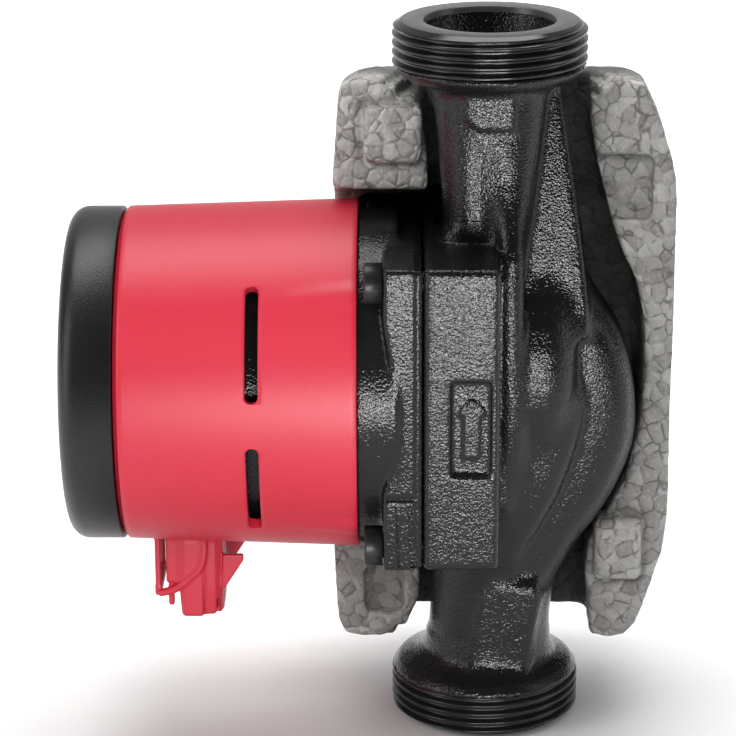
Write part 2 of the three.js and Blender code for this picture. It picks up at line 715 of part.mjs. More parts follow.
function electronicsHousing() {
  const rim = SHELL_LEFT_R - SHELL_STEP;
  const outer = turnX([
    [SHELL_LEFT_X, 0], [SHELL_LEFT_X, rim], [SHELL_LEFT_X + SHELL_RIM, rim],
    [SHELL_LEFT_X + SHELL_RIM, SHELL_LEFT_R], [SHELL_RIGHT_X, SHELL_RIGHT_R], [SHELL_RIGHT_X, 0],
  ], ROUND);
  const inner = turnX([
    [SHELL_LEFT_X - 1, 0], [SHELL_LEFT_X - 1, rim - SHELL_WALL],
    [SHELL_RIGHT_X + 1, SHELL_RIGHT_R - SHELL_WALL], [SHELL_RIGHT_X + 1, 0],
  ], ROUND);
  const halfY = SOCKET_HALF_Y - SOCKET_WALL_Y;
  const plan = roundedRectangle(
    SOCKET_X0 + SOCKET_WALL_X, SOCKET_X1 - SOCKET_WALL_X, -halfY, halfY, SOCKET_WALL_X);
  const cavity = extrudeZ(plan, SOCKET_Z - 1, SOCKET_CEILING_Z, 3);
  const pinHoles = PIN_PLACES.map((y) => pin(y, GAP, SOCKET_CEILING_Z - 1, SOCKET_TOP_Z + 2));
  return cut(join([outer, powerSocketOuter()]), [inner, cavity, ventSlots(), ...pinHoles]);
}

place('electronics_housing', electronicsHousing(), redPlastic);

PIN_PLACES.forEach((y, i) => {
  place(`socket_pin_${i + 1}`, pin(y, 0, PIN_TIP_Z, PIN_TOP_Z), brass);
});

// ---- front cover, controls and electronics ------------------------------------------------

function buttonHoleThrough(r) {
  return discX(COVER_X - 1, COVER_X + COVER_FLOOR + 2, r).translate(0, 0, BUTTON_Z);
}

function frontCover() {
  const r = SHELL_LEFT_R;
  const back = SHELL_LEFT_X - GAP;
  const profile = [[COVER_X, 0], [COVER_X, r - COVER_EDGE]];
  for (let i = 1; i <= 4; i += 1) {
    const angle = rad(90 * i / 4);
    profile.push([COVER_X + COVER_EDGE * (1 - Math.cos(angle)), r - COVER_EDGE * (1 - Math.sin(angle))]);
  }
  profile.push([back, r], [back, r - COVER_WALL], [COVER_X + 7, r - COVER_WALL - 0.4]);
  profile.push([COVER_X + COVER_FLOOR, r - COVER_WALL - 3], [COVER_X + COVER_FLOOR, 0]);
  const panelSeat = discX(COVER_X - 1, COVER_X + PANEL_THICK + GAP, PANEL_R + GAP);
  const buttonHole = buttonHoleThrough(BUTTON_R - BUTTON_LIP + GAP);
  const lightHoles = LIGHT_ANGLES.map((angle) => lightWindow(angle, COVER_X, COVER_X + LIGHT_DEPTH + 1, GAP));
  return cut(turnX(profile), [panelSeat, buttonHole, ...lightHoles]);
}

// A short bar of light guide, one of a row on an arc above the button.
function lightWindow(angle, x0, x1, spare) {
  const halfY = LIGHT_HALF_LENGTH + spare;
  const halfZ = LIGHT_HALF_WIDTH + spare;
  const bar = box(x0, x1, -halfY, halfY, LIGHT_RADIUS - halfZ, LIGHT_RADIUS + halfZ);
  return bar.rotate([angle, 0, 0]);
}

function controlPanel() {
  const disc = discX(COVER_X + PANEL_SET_BACK, COVER_X + PANEL_THICK, PANEL_R);
  const buttonHole = buttonHoleThrough(BUTTON_R + GAP);
  const lightHoles = LIGHT_ANGLES.map((angle) => lightWindow(angle, COVER_X - 1, COVER_X + LIGHT_DEPTH, GAP));
  return cut(disc, [buttonHole, ...lightHoles]);
}

function pushButton() {
  const top = COVER_X + PANEL_SET_BACK;
  const seat = COVER_X + PANEL_THICK + GAP;
  const under = seat - BUTTON_TRAVEL - PANEL_SET_BACK;
  const stem = BUTTON_R - BUTTON_LIP;
  return turnX([
    [top, 0], [top, BUTTON_R - BUTTON_CHAMFER], [top + BUTTON_CHAMFER, BUTTON_R],
    [under, BUTTON_R], [under, stem], [seat + BUTTON_STEM, stem],
    [seat + BUTTON_STEM, PLUNGER_R], [PLUNGER_X, PLUNGER_R], [PLUNGER_X, 0],
  ]).translate(0, 0, BUTTON_Z);
}

place('front_cover', frontCover(), blackPlastic);
place('control_panel', controlPanel(), panelPlastic);
place('push_button', pushButton(), blackPlastic);
LIGHT_ANGLES.forEach((angle, i) => {
  const window = lightWindow(angle, COVER_X + PANEL_SET_BACK, COVER_X + LIGHT_DEPTH, 0);
  place(`light_window_${i + 1}`, window, lensPlastic);
});
place('cover_seal', ringX(...SEAL_X, ...SEAL_R), rubber);

function buttonSwitch() {
  const x0 = BOARD_X - SWITCH_HEIGHT;
  return box(x0, BOARD_X - GAP, -SWITCH_HALF, SWITCH_HALF, BUTTON_Z - SWITCH_HALF, BUTTON_Z + SWITCH_HALF);
}

function bulkCapacitor() {
  return discX(PARTS_X, CAPACITOR_END_X, CAPACITOR_R, SMALL).translate(0, 18, 18);
}

function lineChoke() {
  return ringX(PARTS_X, CHOKE_END_X, ...CHOKE_R, SMALL).translate(0, -18, 16);
}

function powerModule() {
  return box(PARTS_X, MODULE_END_X, -MODULE_HALF_Y, MODULE_HALF_Y, ...MODULE_Z);
}

place('circuit_board', discX(BOARD_X, BOARD_X + BOARD_THICK, BOARD_R), circuit);
place('button_switch', buttonSwitch(), blackPlastic);
place('bulk_capacitor', bulkCapacitor(), aluminiumCan);
place('line_choke', lineChoke(), copper);
place('power_module', powerModule(), blackPlastic);

// ---- insulation half ----------------------------------------------------------------------

// Outside of the foam as seen along Y, in (x, z).
const FOAM_FRONT = [
  [-39.2, 44], [-38.2, 57], [-37.2, 70], [-35.6, 73.4], [-31.4, 75], [29.6, 75], [35.6, 74.7],
  [38.4, 73], [42.6, 63], [46.2, 51], [47.3, 45], [47.3, -36], [46.2, -47], [43.4, -57],
  [39.6, -69], [36.6, -72.6], [32.8, -73.9], [-33, -73.9], [-36.6, -72], [-38.4, -64], [-39.4, -48],
];

// The same as seen along X, in (y, z), and from above, in (x, y): its back is rounded off.
const FOAM_SIDE = [
  [0, 76], [18, 76], [27, 73.5], [36, 67], [46, 57], [52, 49], [FOAM_DEPTH, 43],
  [FOAM_DEPTH, -43], [52, -49], [46, -57], [36, -67], [27, -72.5], [18, -75], [0, -75],
];
const FOAM_PLAN = [
  [-40, 0], [48, 0], [48, 26], [45.6, 36], [40, 44], [31, 50.5], [20, FOAM_DEPTH],
  [-26, FOAM_DEPTH], [-34, 52.5], [-38.5, 48], [-40, 42],
];

// The hollow that the casting lies in, as seen along Y and along X.
const CAVITY_FRONT = [
  [-14.6, 40], [-15.2, 55], [-17, 67.6], [-20, 74.4], [-20, 80], [25.2, 80], [25.2, 64], [27, 53],
  [30.6, 39], [33.8, 30], [36.9, 23.4], [39.4, 14], [40.6, 0], [40.6, -16], [37.4, -30],
  [32, -40], [27, -47], [25.7, -55], [27, -71], [27, -80], [-20, -80], [-20.4, -70],
  [-16.9, -62], [-16.7, -44],
];
const CAVITY_SIDE = [
  [-1, 82], [20, 82], [21, 60], [26, 48], [33, 38], [34, 0], [33, -38], [26, -50], [22, -60],
  [20, -82], [-1, -82],
];

// Pegs on the split face and the recesses that take the other half's, as x and z limits.
const PEG_PLACES = [[-30.9, -17.6, 54.3, 68.6], [28.8, 39.8, -55.6, -40.4]];
const RECESS_PLACES = [[30.6, 40.6, 39.2, 55.7], [-30.9, -21, -66, -53]];

function foamBlank() {
  return common([
    extrudeY(outline(FOAM_FRONT), FOAM_SEAM_Y, FOAM_DEPTH + 1),
    extrudeX(outline(FOAM_SIDE), -BEYOND, BEYOND),
    extrudeZ(outline(FOAM_PLAN), -2 * BEYOND, 2 * BEYOND),
  ]);
}

function foamCavity() {
  const passage = common([
    extrudeY(outline(CAVITY_FRONT), -1, BEYOND),
    extrudeX(outline(CAVITY_SIDE), -BEYOND, BEYOND),
  ]);
  const [y, z] = [FOAM_POCKET_Y, FOAM_POCKET_Z];
  const pocket = extrudeX(roundedRectangle(-y, y, -z, z, FOAM_POCKET_CORNER), ...FOAM_POCKET_X);
  return join([passage, pocket, discX(-BEYOND, MOTOR_OPENING_X, MOTOR_OPENING_R)]);
}

// A rounded square on the split face, between two depths.
function key(limits, y0, y1) {
  return extrudeY(roundedRectangle(...limits, PEG_CORNER), y0, y1, 3);
}

function insulationHalf() {
  const pegs = PEG_PLACES.map((limits) => key(limits, FOAM_SEAM_Y - PEG_HEIGHT, 2));
  const recesses = RECESS_PLACES.map((limits) => key(limits, -1, PEG_HEIGHT));
  return cut(foamBlank().add(join(pegs)), [foamCavity(), ...recesses]);
}

place('insulation_half', insulationHalf(), foam);

export default assembly;
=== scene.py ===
"""Looks of the circulator pump: cast housing, moulded shells, bead foam and their materials.

Shapes are worked out in millimetres, in the frame's own axes, and turned into metres when a mesh is made.
"""

import json
import math

import bmesh
import bpy
import numpy as np
from mathutils import Matrix, Vector, kdtree


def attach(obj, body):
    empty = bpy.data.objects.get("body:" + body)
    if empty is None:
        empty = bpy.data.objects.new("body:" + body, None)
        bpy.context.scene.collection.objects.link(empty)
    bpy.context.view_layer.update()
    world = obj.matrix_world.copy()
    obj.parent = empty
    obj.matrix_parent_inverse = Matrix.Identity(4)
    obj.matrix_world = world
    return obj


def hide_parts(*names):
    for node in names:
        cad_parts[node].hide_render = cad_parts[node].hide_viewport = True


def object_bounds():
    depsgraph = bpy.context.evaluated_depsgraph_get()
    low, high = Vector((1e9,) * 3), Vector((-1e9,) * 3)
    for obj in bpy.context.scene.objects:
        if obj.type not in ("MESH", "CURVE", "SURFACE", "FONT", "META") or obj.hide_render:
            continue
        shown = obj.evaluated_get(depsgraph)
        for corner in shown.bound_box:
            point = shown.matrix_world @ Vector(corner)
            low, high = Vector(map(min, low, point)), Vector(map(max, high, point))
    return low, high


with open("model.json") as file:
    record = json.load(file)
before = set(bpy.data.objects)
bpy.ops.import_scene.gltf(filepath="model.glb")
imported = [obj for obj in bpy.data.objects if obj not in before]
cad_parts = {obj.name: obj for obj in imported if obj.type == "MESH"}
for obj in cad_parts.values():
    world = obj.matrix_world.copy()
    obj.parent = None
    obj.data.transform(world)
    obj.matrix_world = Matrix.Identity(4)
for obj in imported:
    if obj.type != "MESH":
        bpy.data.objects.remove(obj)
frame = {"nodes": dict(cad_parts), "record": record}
cad_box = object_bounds()

MM = 0.001
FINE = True

# ---- driving dimensions, in millimetres ----

PORT = 90.0
COLLAR_Z = 78.6
THREAD_R = 23.9
THREAD_PITCH = 2.309
THREAD_DEPTH = 1.4
THREAD_RISE = 1.1           # how far the thread takes to come up from the plain collar
COLLAR_R = 22.9
MOUTH_R = 16.2
FACE_R = 21.5
FACE_CHAMFER = 1.5
CAST_END = 79.6             # where the cast part stops inside each threaded collar

SEAM_X = -16.2
BLOCK_BACK_X = 2.0
BLOCK_Y = 40.0
BLOCK_Z = 38.0
LUG_X = -25.8
BOLT_Y = 34.5
BOLT_Z = 33.4
BOLT_HEAD_R = 4.9
BOLT_HEAD_X = -30.5
BOLT_HOLE_R = 3.3
BOLT_SPOTS = [(-BOLT_Y, BOLT_Z), (BOLT_Y, BOLT_Z), (-BOLT_Y, -BOLT_Z), (BOLT_Y, -BOLT_Z)]
MOTOR_R = 41.4

SHELL_LEFT_X = -90.5
SHELL_RIGHT_X = -32.2
SHELL_LEFT_R = 41.8
SHELL_RIGHT_R = 43.7
SHELL_WALL = 2.0
SLOT_X = -57.3
SLOT_HALF = 1.6

COVER_X = -104.0
COVER_ROUND = 4.5
PANEL_R = 33.4


# ---- signed distances: negative inside, in millimetres ----

def smooth_min(a, b, k):
    h = np.clip(0.5 + 0.5 * (b - a) / k, 0, 1)
    return b + (a - b) * h - k * h * (1 - h)


def smooth_max(a, b, k):
    return -smooth_min(-a, -b, k)


def join_all(parts, k):
    whole = parts[0]
    for part in parts[1:]:
        whole = smooth_min(whole, part, k)
    return whole


def block(p, low, high, r):
    """A box with all its edges rounded to r."""
    low, high = np.array(low, float), np.array(high, float)
    q = np.abs(p - (low + high) / 2) - ((high - low) / 2 - r)
    return np.linalg.norm(np.maximum(q, 0), axis=1) + np.minimum(q.max(axis=1), 0) - r


def chain(p, points, radii):
    """A tube through the points, whose radius runs from each point's value to the next."""
    best = np.full(len(p), 1e9)
    for a, b, ra, rb in zip(points[:-1], points[1:], radii[:-1], radii[1:]):
        a, b = np.array(a, float), np.array(b, float)
        d = b - a
        t = np.clip((p - a) @ d / (d @ d), 0, 1)
        best = np.minimum(best, np.linalg.norm(p - a - t[:, None] * d, axis=1) - (ra + t * (rb - ra)))
    return best


def curve_points(points, count):
    """Points spaced along a smooth curve through the given ones (Catmull-Rom)."""
    pts = np.array(points, float)
    pts = np.vstack([2 * pts[0] - pts[1], pts, 2 * pts[-1] - pts[-2]])
    result = []
    spans = len(pts) - 3
    for s in np.linspace(0, spans - 1e-6, count):
        i, t = int(s), s - int(s)
        a, b, c, d = pts[i:i + 4]
        result.append(0.5 * (2 * b + (c - a) * t + (2 * a - 5 * b + 4 * c - d) * t * t
                             + (3 * b - a - 3 * c + d) * t ** 3))
    return np.array(result)


def smooth_chain(p, stations, count):
    """A tube through stations of [x, y, z, radius], along a smooth curve."""
    line = curve_points(stations, count)
    return chain(p, line[:, :3], line[:, 3])


def polygon(u, v, points):
    """Distance to a closed outline in a plane."""
    pts = np.array(points, float)
    best = np.full(len(u), 1e18)
    sign = np.ones(len(u))
    for (ax, ay), (bx, by) in zip(pts, np.roll(pts, -1, axis=0)):
        ex, ey = bx - ax, by - ay
        wx, wy = u - ax, v - ay
        t = np.clip((wx * ex + wy * ey) / (ex * ex + ey * ey), 0, 1)
        best = np.minimum(best, (wx - ex * t) ** 2 + (wy - ey * t) ** 2)
        above, below = v >= ay, v < by
        left = ex * wy > ey * wx
        flip = (above & below & left) | (~above & ~below & ~left)
        sign = np.where(flip, -sign, sign)
    return sign * np.sqrt(best)


def slab(flat, w, low, high, r):
    """An outline's distance stretched between two planes of w, with its edges rounded to r."""
    d1 = flat + r
    d2 = np.abs(w - (low + high) / 2) - (high - low) / 2 + r
    outside = np.sqrt(np.maximum(d1, 0) ** 2 + np.maximum(d2, 0) ** 2)
    return outside + np.minimum(np.maximum(d1, d2), 0) - r


def plate_xz(p, points, y0, y1, r):
    return slab(polygon(p[:, 0], p[:, 2], points), p[:, 1], y0, y1, r)


def plate_xy(p, points, z0, z1, r):
    return slab(polygon(p[:, 0], p[:, 1], points), p[:, 2], z0, z1, r)


def plate_yz(p, points, x0, x1, r):
    return slab(polygon(p[:, 1], p[:, 2], points), p[:, 0], x0, x1, r)


def round_x(p, radius, x0, x1, r, y=0.0, z=0.0):
    """A disc about an axis along X."""
    flat = np.hypot(p[:, 1] - y, p[:, 2] - z) - radius
    return slab(flat, p[:, 0], x0, x1, r)


def lathe_z(p, profile):
    """A closed outline of (radius, z) turned about Z."""
    return polygon(np.hypot(p[:, 0], p[:, 1]), p[:, 2], profile)


# ---- meshes ----

CORNERS = np.array([(i, j, k) for i in (0, 1) for j in (0, 1) for k in (0, 1)])
CELL_EDGES = [(a, b) for a in range(8) for b in range(a + 1, 8)
              if np.abs(CORNERS[a] - CORNERS[b]).sum() == 1]


def surface_net(field, low, high, step, settle=3):
    """Vertices and quads of the surface where the field is zero."""
    axes = [np.arange(low[i] - 2 * step, high[i] + 2.5 * step, step) for i in range(3)]
    shape = tuple(len(a) for a in axes)
    value = np.empty(shape)
    for i, x in enumerate(axes[0]):
        yy, zz = np.meshgrid(axes[1], axes[2], indexing="ij")
        points = np.stack([np.full(yy.size, x), yy.ravel(), zz.ravel()], axis=1)
        value[i] = field(points).reshape(yy.shape)
    size = tuple(n - 1 for n in shape)
    corner = [value[i:i + size[0], j:j + size[1], k:k + size[2]] for i, j, k in CORNERS]
    inside = sum((c < 0).astype(int) for c in corner)
    mixed = (inside > 0) & (inside < 8)
    cells = np.argwhere(mixed)
    number = np.full(size, -1)
    number[mixed] = np.arange(len(cells))
    total = np.zeros((len(cells), 3))
    count = np.zeros(len(cells))
    at = [c[mixed] for c in corner]
    for a, b in CELL_EDGES:
        cross = (at[a] < 0) != (at[b] < 0)
        t = np.where(cross, at[a] / np.where(cross, at[a] - at[b], 1), 0)
        spot = CORNERS[a] + t[:, None] * (CORNERS[b] - CORNERS[a])
        total += np.where(cross[:, None], spot, 0)
        count += cross
    origin = np.array([a[0] for a in axes])
    verts = origin + (cells + total / count[:, None]) * step
    quads = []
    for axis in range(3):
        other = [a for a in range(3) if a != axis]
        first = [slice(None)] * 3
        second = [slice(None)] * 3
        first[axis], second[axis] = slice(None, -1), slice(1, None)
        change = (value[tuple(first)] < 0).astype(int) - (value[tuple(second)] < 0).astype(int)
        for sign in (1, -1):
            edges = np.argwhere(change == sign)
            ring = []
            for du, dv in ((-1, -1), (0, -1), (0, 0), (-1, 0)):
                cell = edges.copy()
                cell[:, other[0]] += du
                cell[:, other[1]] += dv
                ring.append(number[tuple(cell.T)])
            quad = np.stack(ring, axis=1)
            if (sign == 1) == (axis == 1):
                quad = quad[:, ::-1]
            quads.append(quad)
    for _ in range(settle):
        verts = settle_on(field, verts, step)
    return verts, np.vstack(quads)


def settle_on(field, verts, step):
    """Moves vertices onto the field's zero surface, by at most half a step."""
    h = 0.05 * step
    gradient = np.empty_like(verts)
    for axis in range(3):
        shift = np.zeros(3)
        shift[axis] = h
        gradient[:, axis] = (field(verts + shift) - field(verts - shift)) / (2 * h)
    length = np.maximum((gradient ** 2).sum(axis=1), 0.05)
    move = -(field(verts) / length)[:, None] * gradient
    far = np.linalg.norm(move, axis=1)
    return verts + move * np.minimum(1, 0.4 * step / np.maximum(far, 1e-9))[:, None]


def mesh_object(name, verts, faces, smooth=True):
    mesh = bpy.data.meshes.new(name)
    faces = [tuple(int(i) for i in f) for f in faces]
    mesh.from_pydata([tuple(v) for v in np.asarray(verts, float) * MM], [], faces)
    mesh.update()
    mesh.validate()
    if smooth:
        mesh.polygons.foreach_set("use_smooth", [True] * len(mesh.polygons))
    obj = bpy.data.objects.new(name, mesh)
    bpy.context.scene.collection.objects.link(obj)
    return obj


def net_object(name, field, low, high, step):
    verts, quads = surface_net(field, low, high, step)
    return mesh_object(name, verts, quads)


def turned(name, profile, sides, place=(0, 0, 0)):
    """A profile of (x, radius) turned about X. Points on the axis become single vertices."""
    verts, rings = [], []
    for along, radius in profile:
        if radius < 1e-6:
            rings.append([len(verts)])
            verts.append((along, 0, 0))
            continue
        rings.append(list(range(len(verts), len(verts) + sides)))
        for i in range(sides):
            angle = 2 * math.pi * i / sides
            verts.append((along, radius * math.cos(angle), radius * math.sin(angle)))
    faces = []
    pairs = list(zip(rings[:-1], rings[1:]))
    if len(rings[0]) > 1:
        pairs.append((rings[-1], rings[0]))
    for a, b in pairs:
        for i in range(sides):
            j = (i + 1) % sides
            if len(a) == 1 and len(b) == 1:
                continue
            if len(a) == 1:
                faces.append((a[0], b[i], b[j]))
            elif len(b) == 1:
                faces.append((a[i], b[0], a[j]))
            else:
                faces.append((a[i], b[i], b[j], a[j]))
    obj = mesh_object(name, np.array(verts) + np.array(place), faces)
    face_out(obj)
    return obj


def face_out(obj):
    bm = bmesh.new()
    bm.from_mesh(obj.data)
    bmesh.ops.recalc_face_normals(bm, faces=bm.faces)
    bm.to_mesh(obj.data)
    bm.free()


def rounded(profile, radius, steps=4, closed=True):
    """Rounds the corners of a profile with arcs of the radius, or smaller ones where it is tight."""
    pts = [np.array(q, float) for q in profile]
    result = []
    count = len(pts)
    for i, q in enumerate(pts):
        if not closed and i in (0, count - 1):
            result.append(tuple(q))
            continue
        a, b = pts[i - 1] - q, pts[(i + 1) % count] - q
        la, lb = np.linalg.norm(a), np.linalg.norm(b)
        a, b = a / la, b / lb
        angle = math.acos(max(-1, min(1, float(a @ b))))
        if angle > math.pi - 0.05:
            result.append(tuple(q))
            continue
        reach = min(radius / math.tan(angle / 2), 0.45 * la, 0.45 * lb)
        start, end = q + a * reach, q + b * reach
        for s in range(steps + 1):
            t = s / steps
            result.append(tuple((1 - t) ** 2 * start + 2 * t * (1 - t) * q + t * t * end))
    return result


def apply_modifiers(obj):
    bpy.context.view_layer.update()
    graph = bpy.context.evaluated_depsgraph_get()
    mesh = bpy.data.meshes.new_from_object(obj.evaluated_get(graph))
    obj.modifiers.clear()
    obj.data = mesh
    return obj


def carve(obj, cutters):
    """Cuts each cutter out of the object and deletes the cutters."""
    for cutter in cutters:
        modifier = obj.modifiers.new("cut", "BOOLEAN")
        modifier.operation = "DIFFERENCE"
        modifier.solver = "EXACT"
        modifier.object = cutter
        apply_modifiers(obj)
    for cutter in cutters:
        bpy.data.objects.remove(cutter)
    return obj


# ---- materials ----

class Look:
    """A node material being put together, in the object's own coordinates."""

    def __init__(self, name, color, roughness, metallic=0.0, specular=0.5):
        self.material = bpy.data.materials.new(name)
        self.material.use_nodes = True
        self.tree = self.material.node_tree
        self.shader = self.tree.nodes["Principled BSDF"]
        self.shader.inputs["Base Color"].default_value = (*color, 1)
        self.shader.inputs["Roughness"].default_value = roughness
        self.shader.inputs["Metallic"].default_value = metallic
        self.shader.inputs["Specular IOR Level"].default_value = specular
        self.place = self.tree.nodes.new("ShaderNodeTexCoord").outputs["Object"]
        self.normal = None

    def node(self, kind, inputs, **settings):
        """Adds a node. inputs says what feeds each of its inputs: a socket to link, or a value."""
        made = self.tree.nodes.new(kind)
        for key, value in settings.items():
            setattr(made, key, value)
        for key, value in inputs.items():
            self.feed(made.inputs[key], value)
        return made

    def feed(self, socket, value):
        if isinstance(value, bpy.types.NodeSocket):
            self.tree.links.new(value, socket)
        else:
            socket.default_value = value

    def noise(self, size, detail=2.0, rough=0.5, place=None):
        """Noise whose blobs are about size millimetres across."""
        inputs = {"Vector": place or self.place, "Scale": 1 / (size * MM), "Detail": detail,
                  "Roughness": rough}
        return self.node("ShaderNodeTexNoise", inputs).outputs["Fac"]

    def cells(self, size, feature="F1", output="Distance", place=None):
        inputs = {"Vector": place or self.place, "Scale": 1 / (size * MM)}
        return self.node("ShaderNodeTexVoronoi", inputs, feature=feature).outputs[output]

    def stretch(self, factors):
        return self.node("ShaderNodeMapping", {"Vector": self.place, "Scale": factors}).outputs["Vector"]

    def ramp(self, value, stops):
        """stops are (position, grey or colour)."""
        made = self.node("ShaderNodeValToRGB", {"Fac": value})
        elements = made.color_ramp.elements
        while len(elements) < len(stops):
            elements.new(0.5)
        for element, (position, shade) in zip(elements, stops):
            element.position = position
            element.color = (*shade, 1) if isinstance(shade, tuple) else (shade, shade, shade, 1)
        return made.outputs["Color"]

    def math(self, operation, a, b):
        return self.node("ShaderNodeMath", {0: a, 1: b}, operation=operation).outputs[0]

    def mix(self, factor, *colors):
        """Mixes two colours, each a tuple or a socket."""
        a, b = ((*c, 1) if isinstance(c, tuple) else c for c in colors)
        return self.node("ShaderNodeMix", {0: factor, 6: a, 7: b}, data_type="RGBA").outputs[2]

    def span(self, value, low, high):
        """Maps 0..1 to low..high."""
        inputs = {"Value": value, "To Min": low, "To Max": high}
        return self.node("ShaderNodeMapRange", inputs).outputs["Result"]

    def edges(self, low, high):
        """1 on convex edges and 0 elsewhere."""
        pointy = self.node("ShaderNodeNewGeometry", {}).outputs["Pointiness"]
        return self.ramp(pointy, [(low, 0.0), (high, 1.0)])

    def color(self, value):
        self.feed(self.shader.inputs["Base Color"], value)

    def roughness(self, value):
        self.feed(self.shader.inputs["Roughness"], value)

    def bump(self, height, depth):
        """Adds relief. depth is in millimetres for a height that runs from 0 to 1."""
        inputs = {"Strength": 1.0, "Distance": depth * MM, "Height": height}
        if self.normal is not None:
            inputs["Normal"] = self.normal
        self.normal = self.node("ShaderNodeBump", inputs).outputs["Normal"]
        self.feed(self.shader.inputs["Normal"], self.normal)


def cast_iron_look():
    """Near-black electrocoat over a coarse sand-cast skin that glints in the light."""
    look = Look("cast_black", (0.007, 0.007, 0.008), 0.18, specular=0.36)
    skin = look.noise(0.56, 1.0, 0.5)
    grit = look.noise(0.3, 0.0)
    waves = look.noise(3.0, 2.0)
    patches = look.noise(14, 3.0)
    shade = look.mix(look.span(patches, 0, 1), (0.005, 0.005, 0.0055), (0.010, 0.010, 0.011))
    worn = look.mix(look.math("MULTIPLY", look.edges(0.53, 0.62), 0.25), shade, (0.03, 0.03, 0.032))
    look.color(worn)
    look.roughness(look.span(patches, 0.09, 0.15))
    look.bump(waves, 0.10)
    look.bump(skin, 0.19)
    look.bump(grit, 0.03)
    return look.material


def motor_cast_look():
    """The same coating over a finer die-cast skin."""
    look = Look("motor_black", (0.008, 0.008, 0.009), 0.22, specular=0.3)
    skin = look.noise(0.6, 1.0, 0.5)
    patches = look.noise(11, 3.0)
    look.color(look.mix(look.span(patches, 0, 1), (0.006, 0.006, 0.0065), (0.012, 0.012, 0.013)))
    look.roughness(look.span(patches, 0.11, 0.18))
    look.bump(skin, 0.15)
    return look.material


def machined_black_look():
    """Turned surface under the same coating, and the rough cast skin left inside the mouth."""
    look = Look("thread_black", (0.006, 0.006, 0.0065), 0.2)
    rings = look.noise(0.35, place=look.stretch((0.05, 0.05, 1.0)))
    patches = look.noise(5.0, 3.0)
    length = look.node("ShaderNodeVectorMath", {0: look.stretch((1, 1, 0))}, operation="LENGTH")
    reach = length.outputs["Value"]
    inside = look.math("LESS_THAN", reach, (MOUTH_R - 0.3) * MM)
    facing = look.math("LESS_THAN", reach, (FACE_R + 0.1) * MM)
    tint = look.mix(look.span(patches, 0, 1), (0.004, 0.004, 0.0045), (0.010, 0.010, 0.011))
    bare = look.math("SUBTRACT", facing, inside)
    look.color(look.mix(bare, tint, (0.065, 0.065, 0.066)))
    satin = look.math("MULTIPLY", bare, 0.10)
    look.roughness(look.math("ADD", look.span(patches, 0.15, 0.24), satin))
    skin = look.math("MULTIPLY", look.noise(0.7, 1.0), inside)
    look.bump(rings, 0.02)
    look.bump(skin, 0.34)
    return look.material


def red_look():
    look = Look("red_moulding", (0.37, 0.010, 0.024), 0.4)
    grain = look.noise(0.28, 2.0, 0.6)
    patches = look.noise(30, 3.0)
    look.color(look.mix(look.span(patches, 0, 1), (0.34, 0.008, 0.022), (0.37, 0.011, 0.028)))
    look.roughness(look.span(grain, 0.36, 0.5))
    look.bump(grain, 0.035)
    return look.material


def black_plastic_look():
    """Spark-eroded black plastic, matt, with tiny glints."""
    look = Look("black_grain", (0.008, 0.008, 0.009), 0.35, specular=0.5)
    grain = look.noise(0.42, 2.0, 0.6)
    patches = look.noise(18, 2.0)
    look.color(look.mix(look.span(patches, 0, 1), (0.006, 0.006, 0.0065), (0.010, 0.010, 0.011)))
    look.roughness(look.span(grain, 0.3, 0.42))
    look.bump(grain, 0.10)
    return look.material


def cavity_shade_mask(look):
    """1 inside the insulation's cavity, where the foam gets painted shade, and 0 outside it."""
    axes = look.node("ShaderNodeSeparateXYZ", {0: look.place})
    mask = 1.0
    for axis, outside, inside in (("Y", 3, 16), ("Y", 46, 42), ("X", 42, 39), ("X", -36, -30)):
        inputs = {"Value": axes.outputs[axis], "From Min": outside * MM, "From Max": inside * MM}
        fade = look.node("ShaderNodeMapRange", inputs, interpolation_type="SMOOTHSTEP")
        mask = look.math("MULTIPLY", fade.outputs["Result"], mask)
    return mask


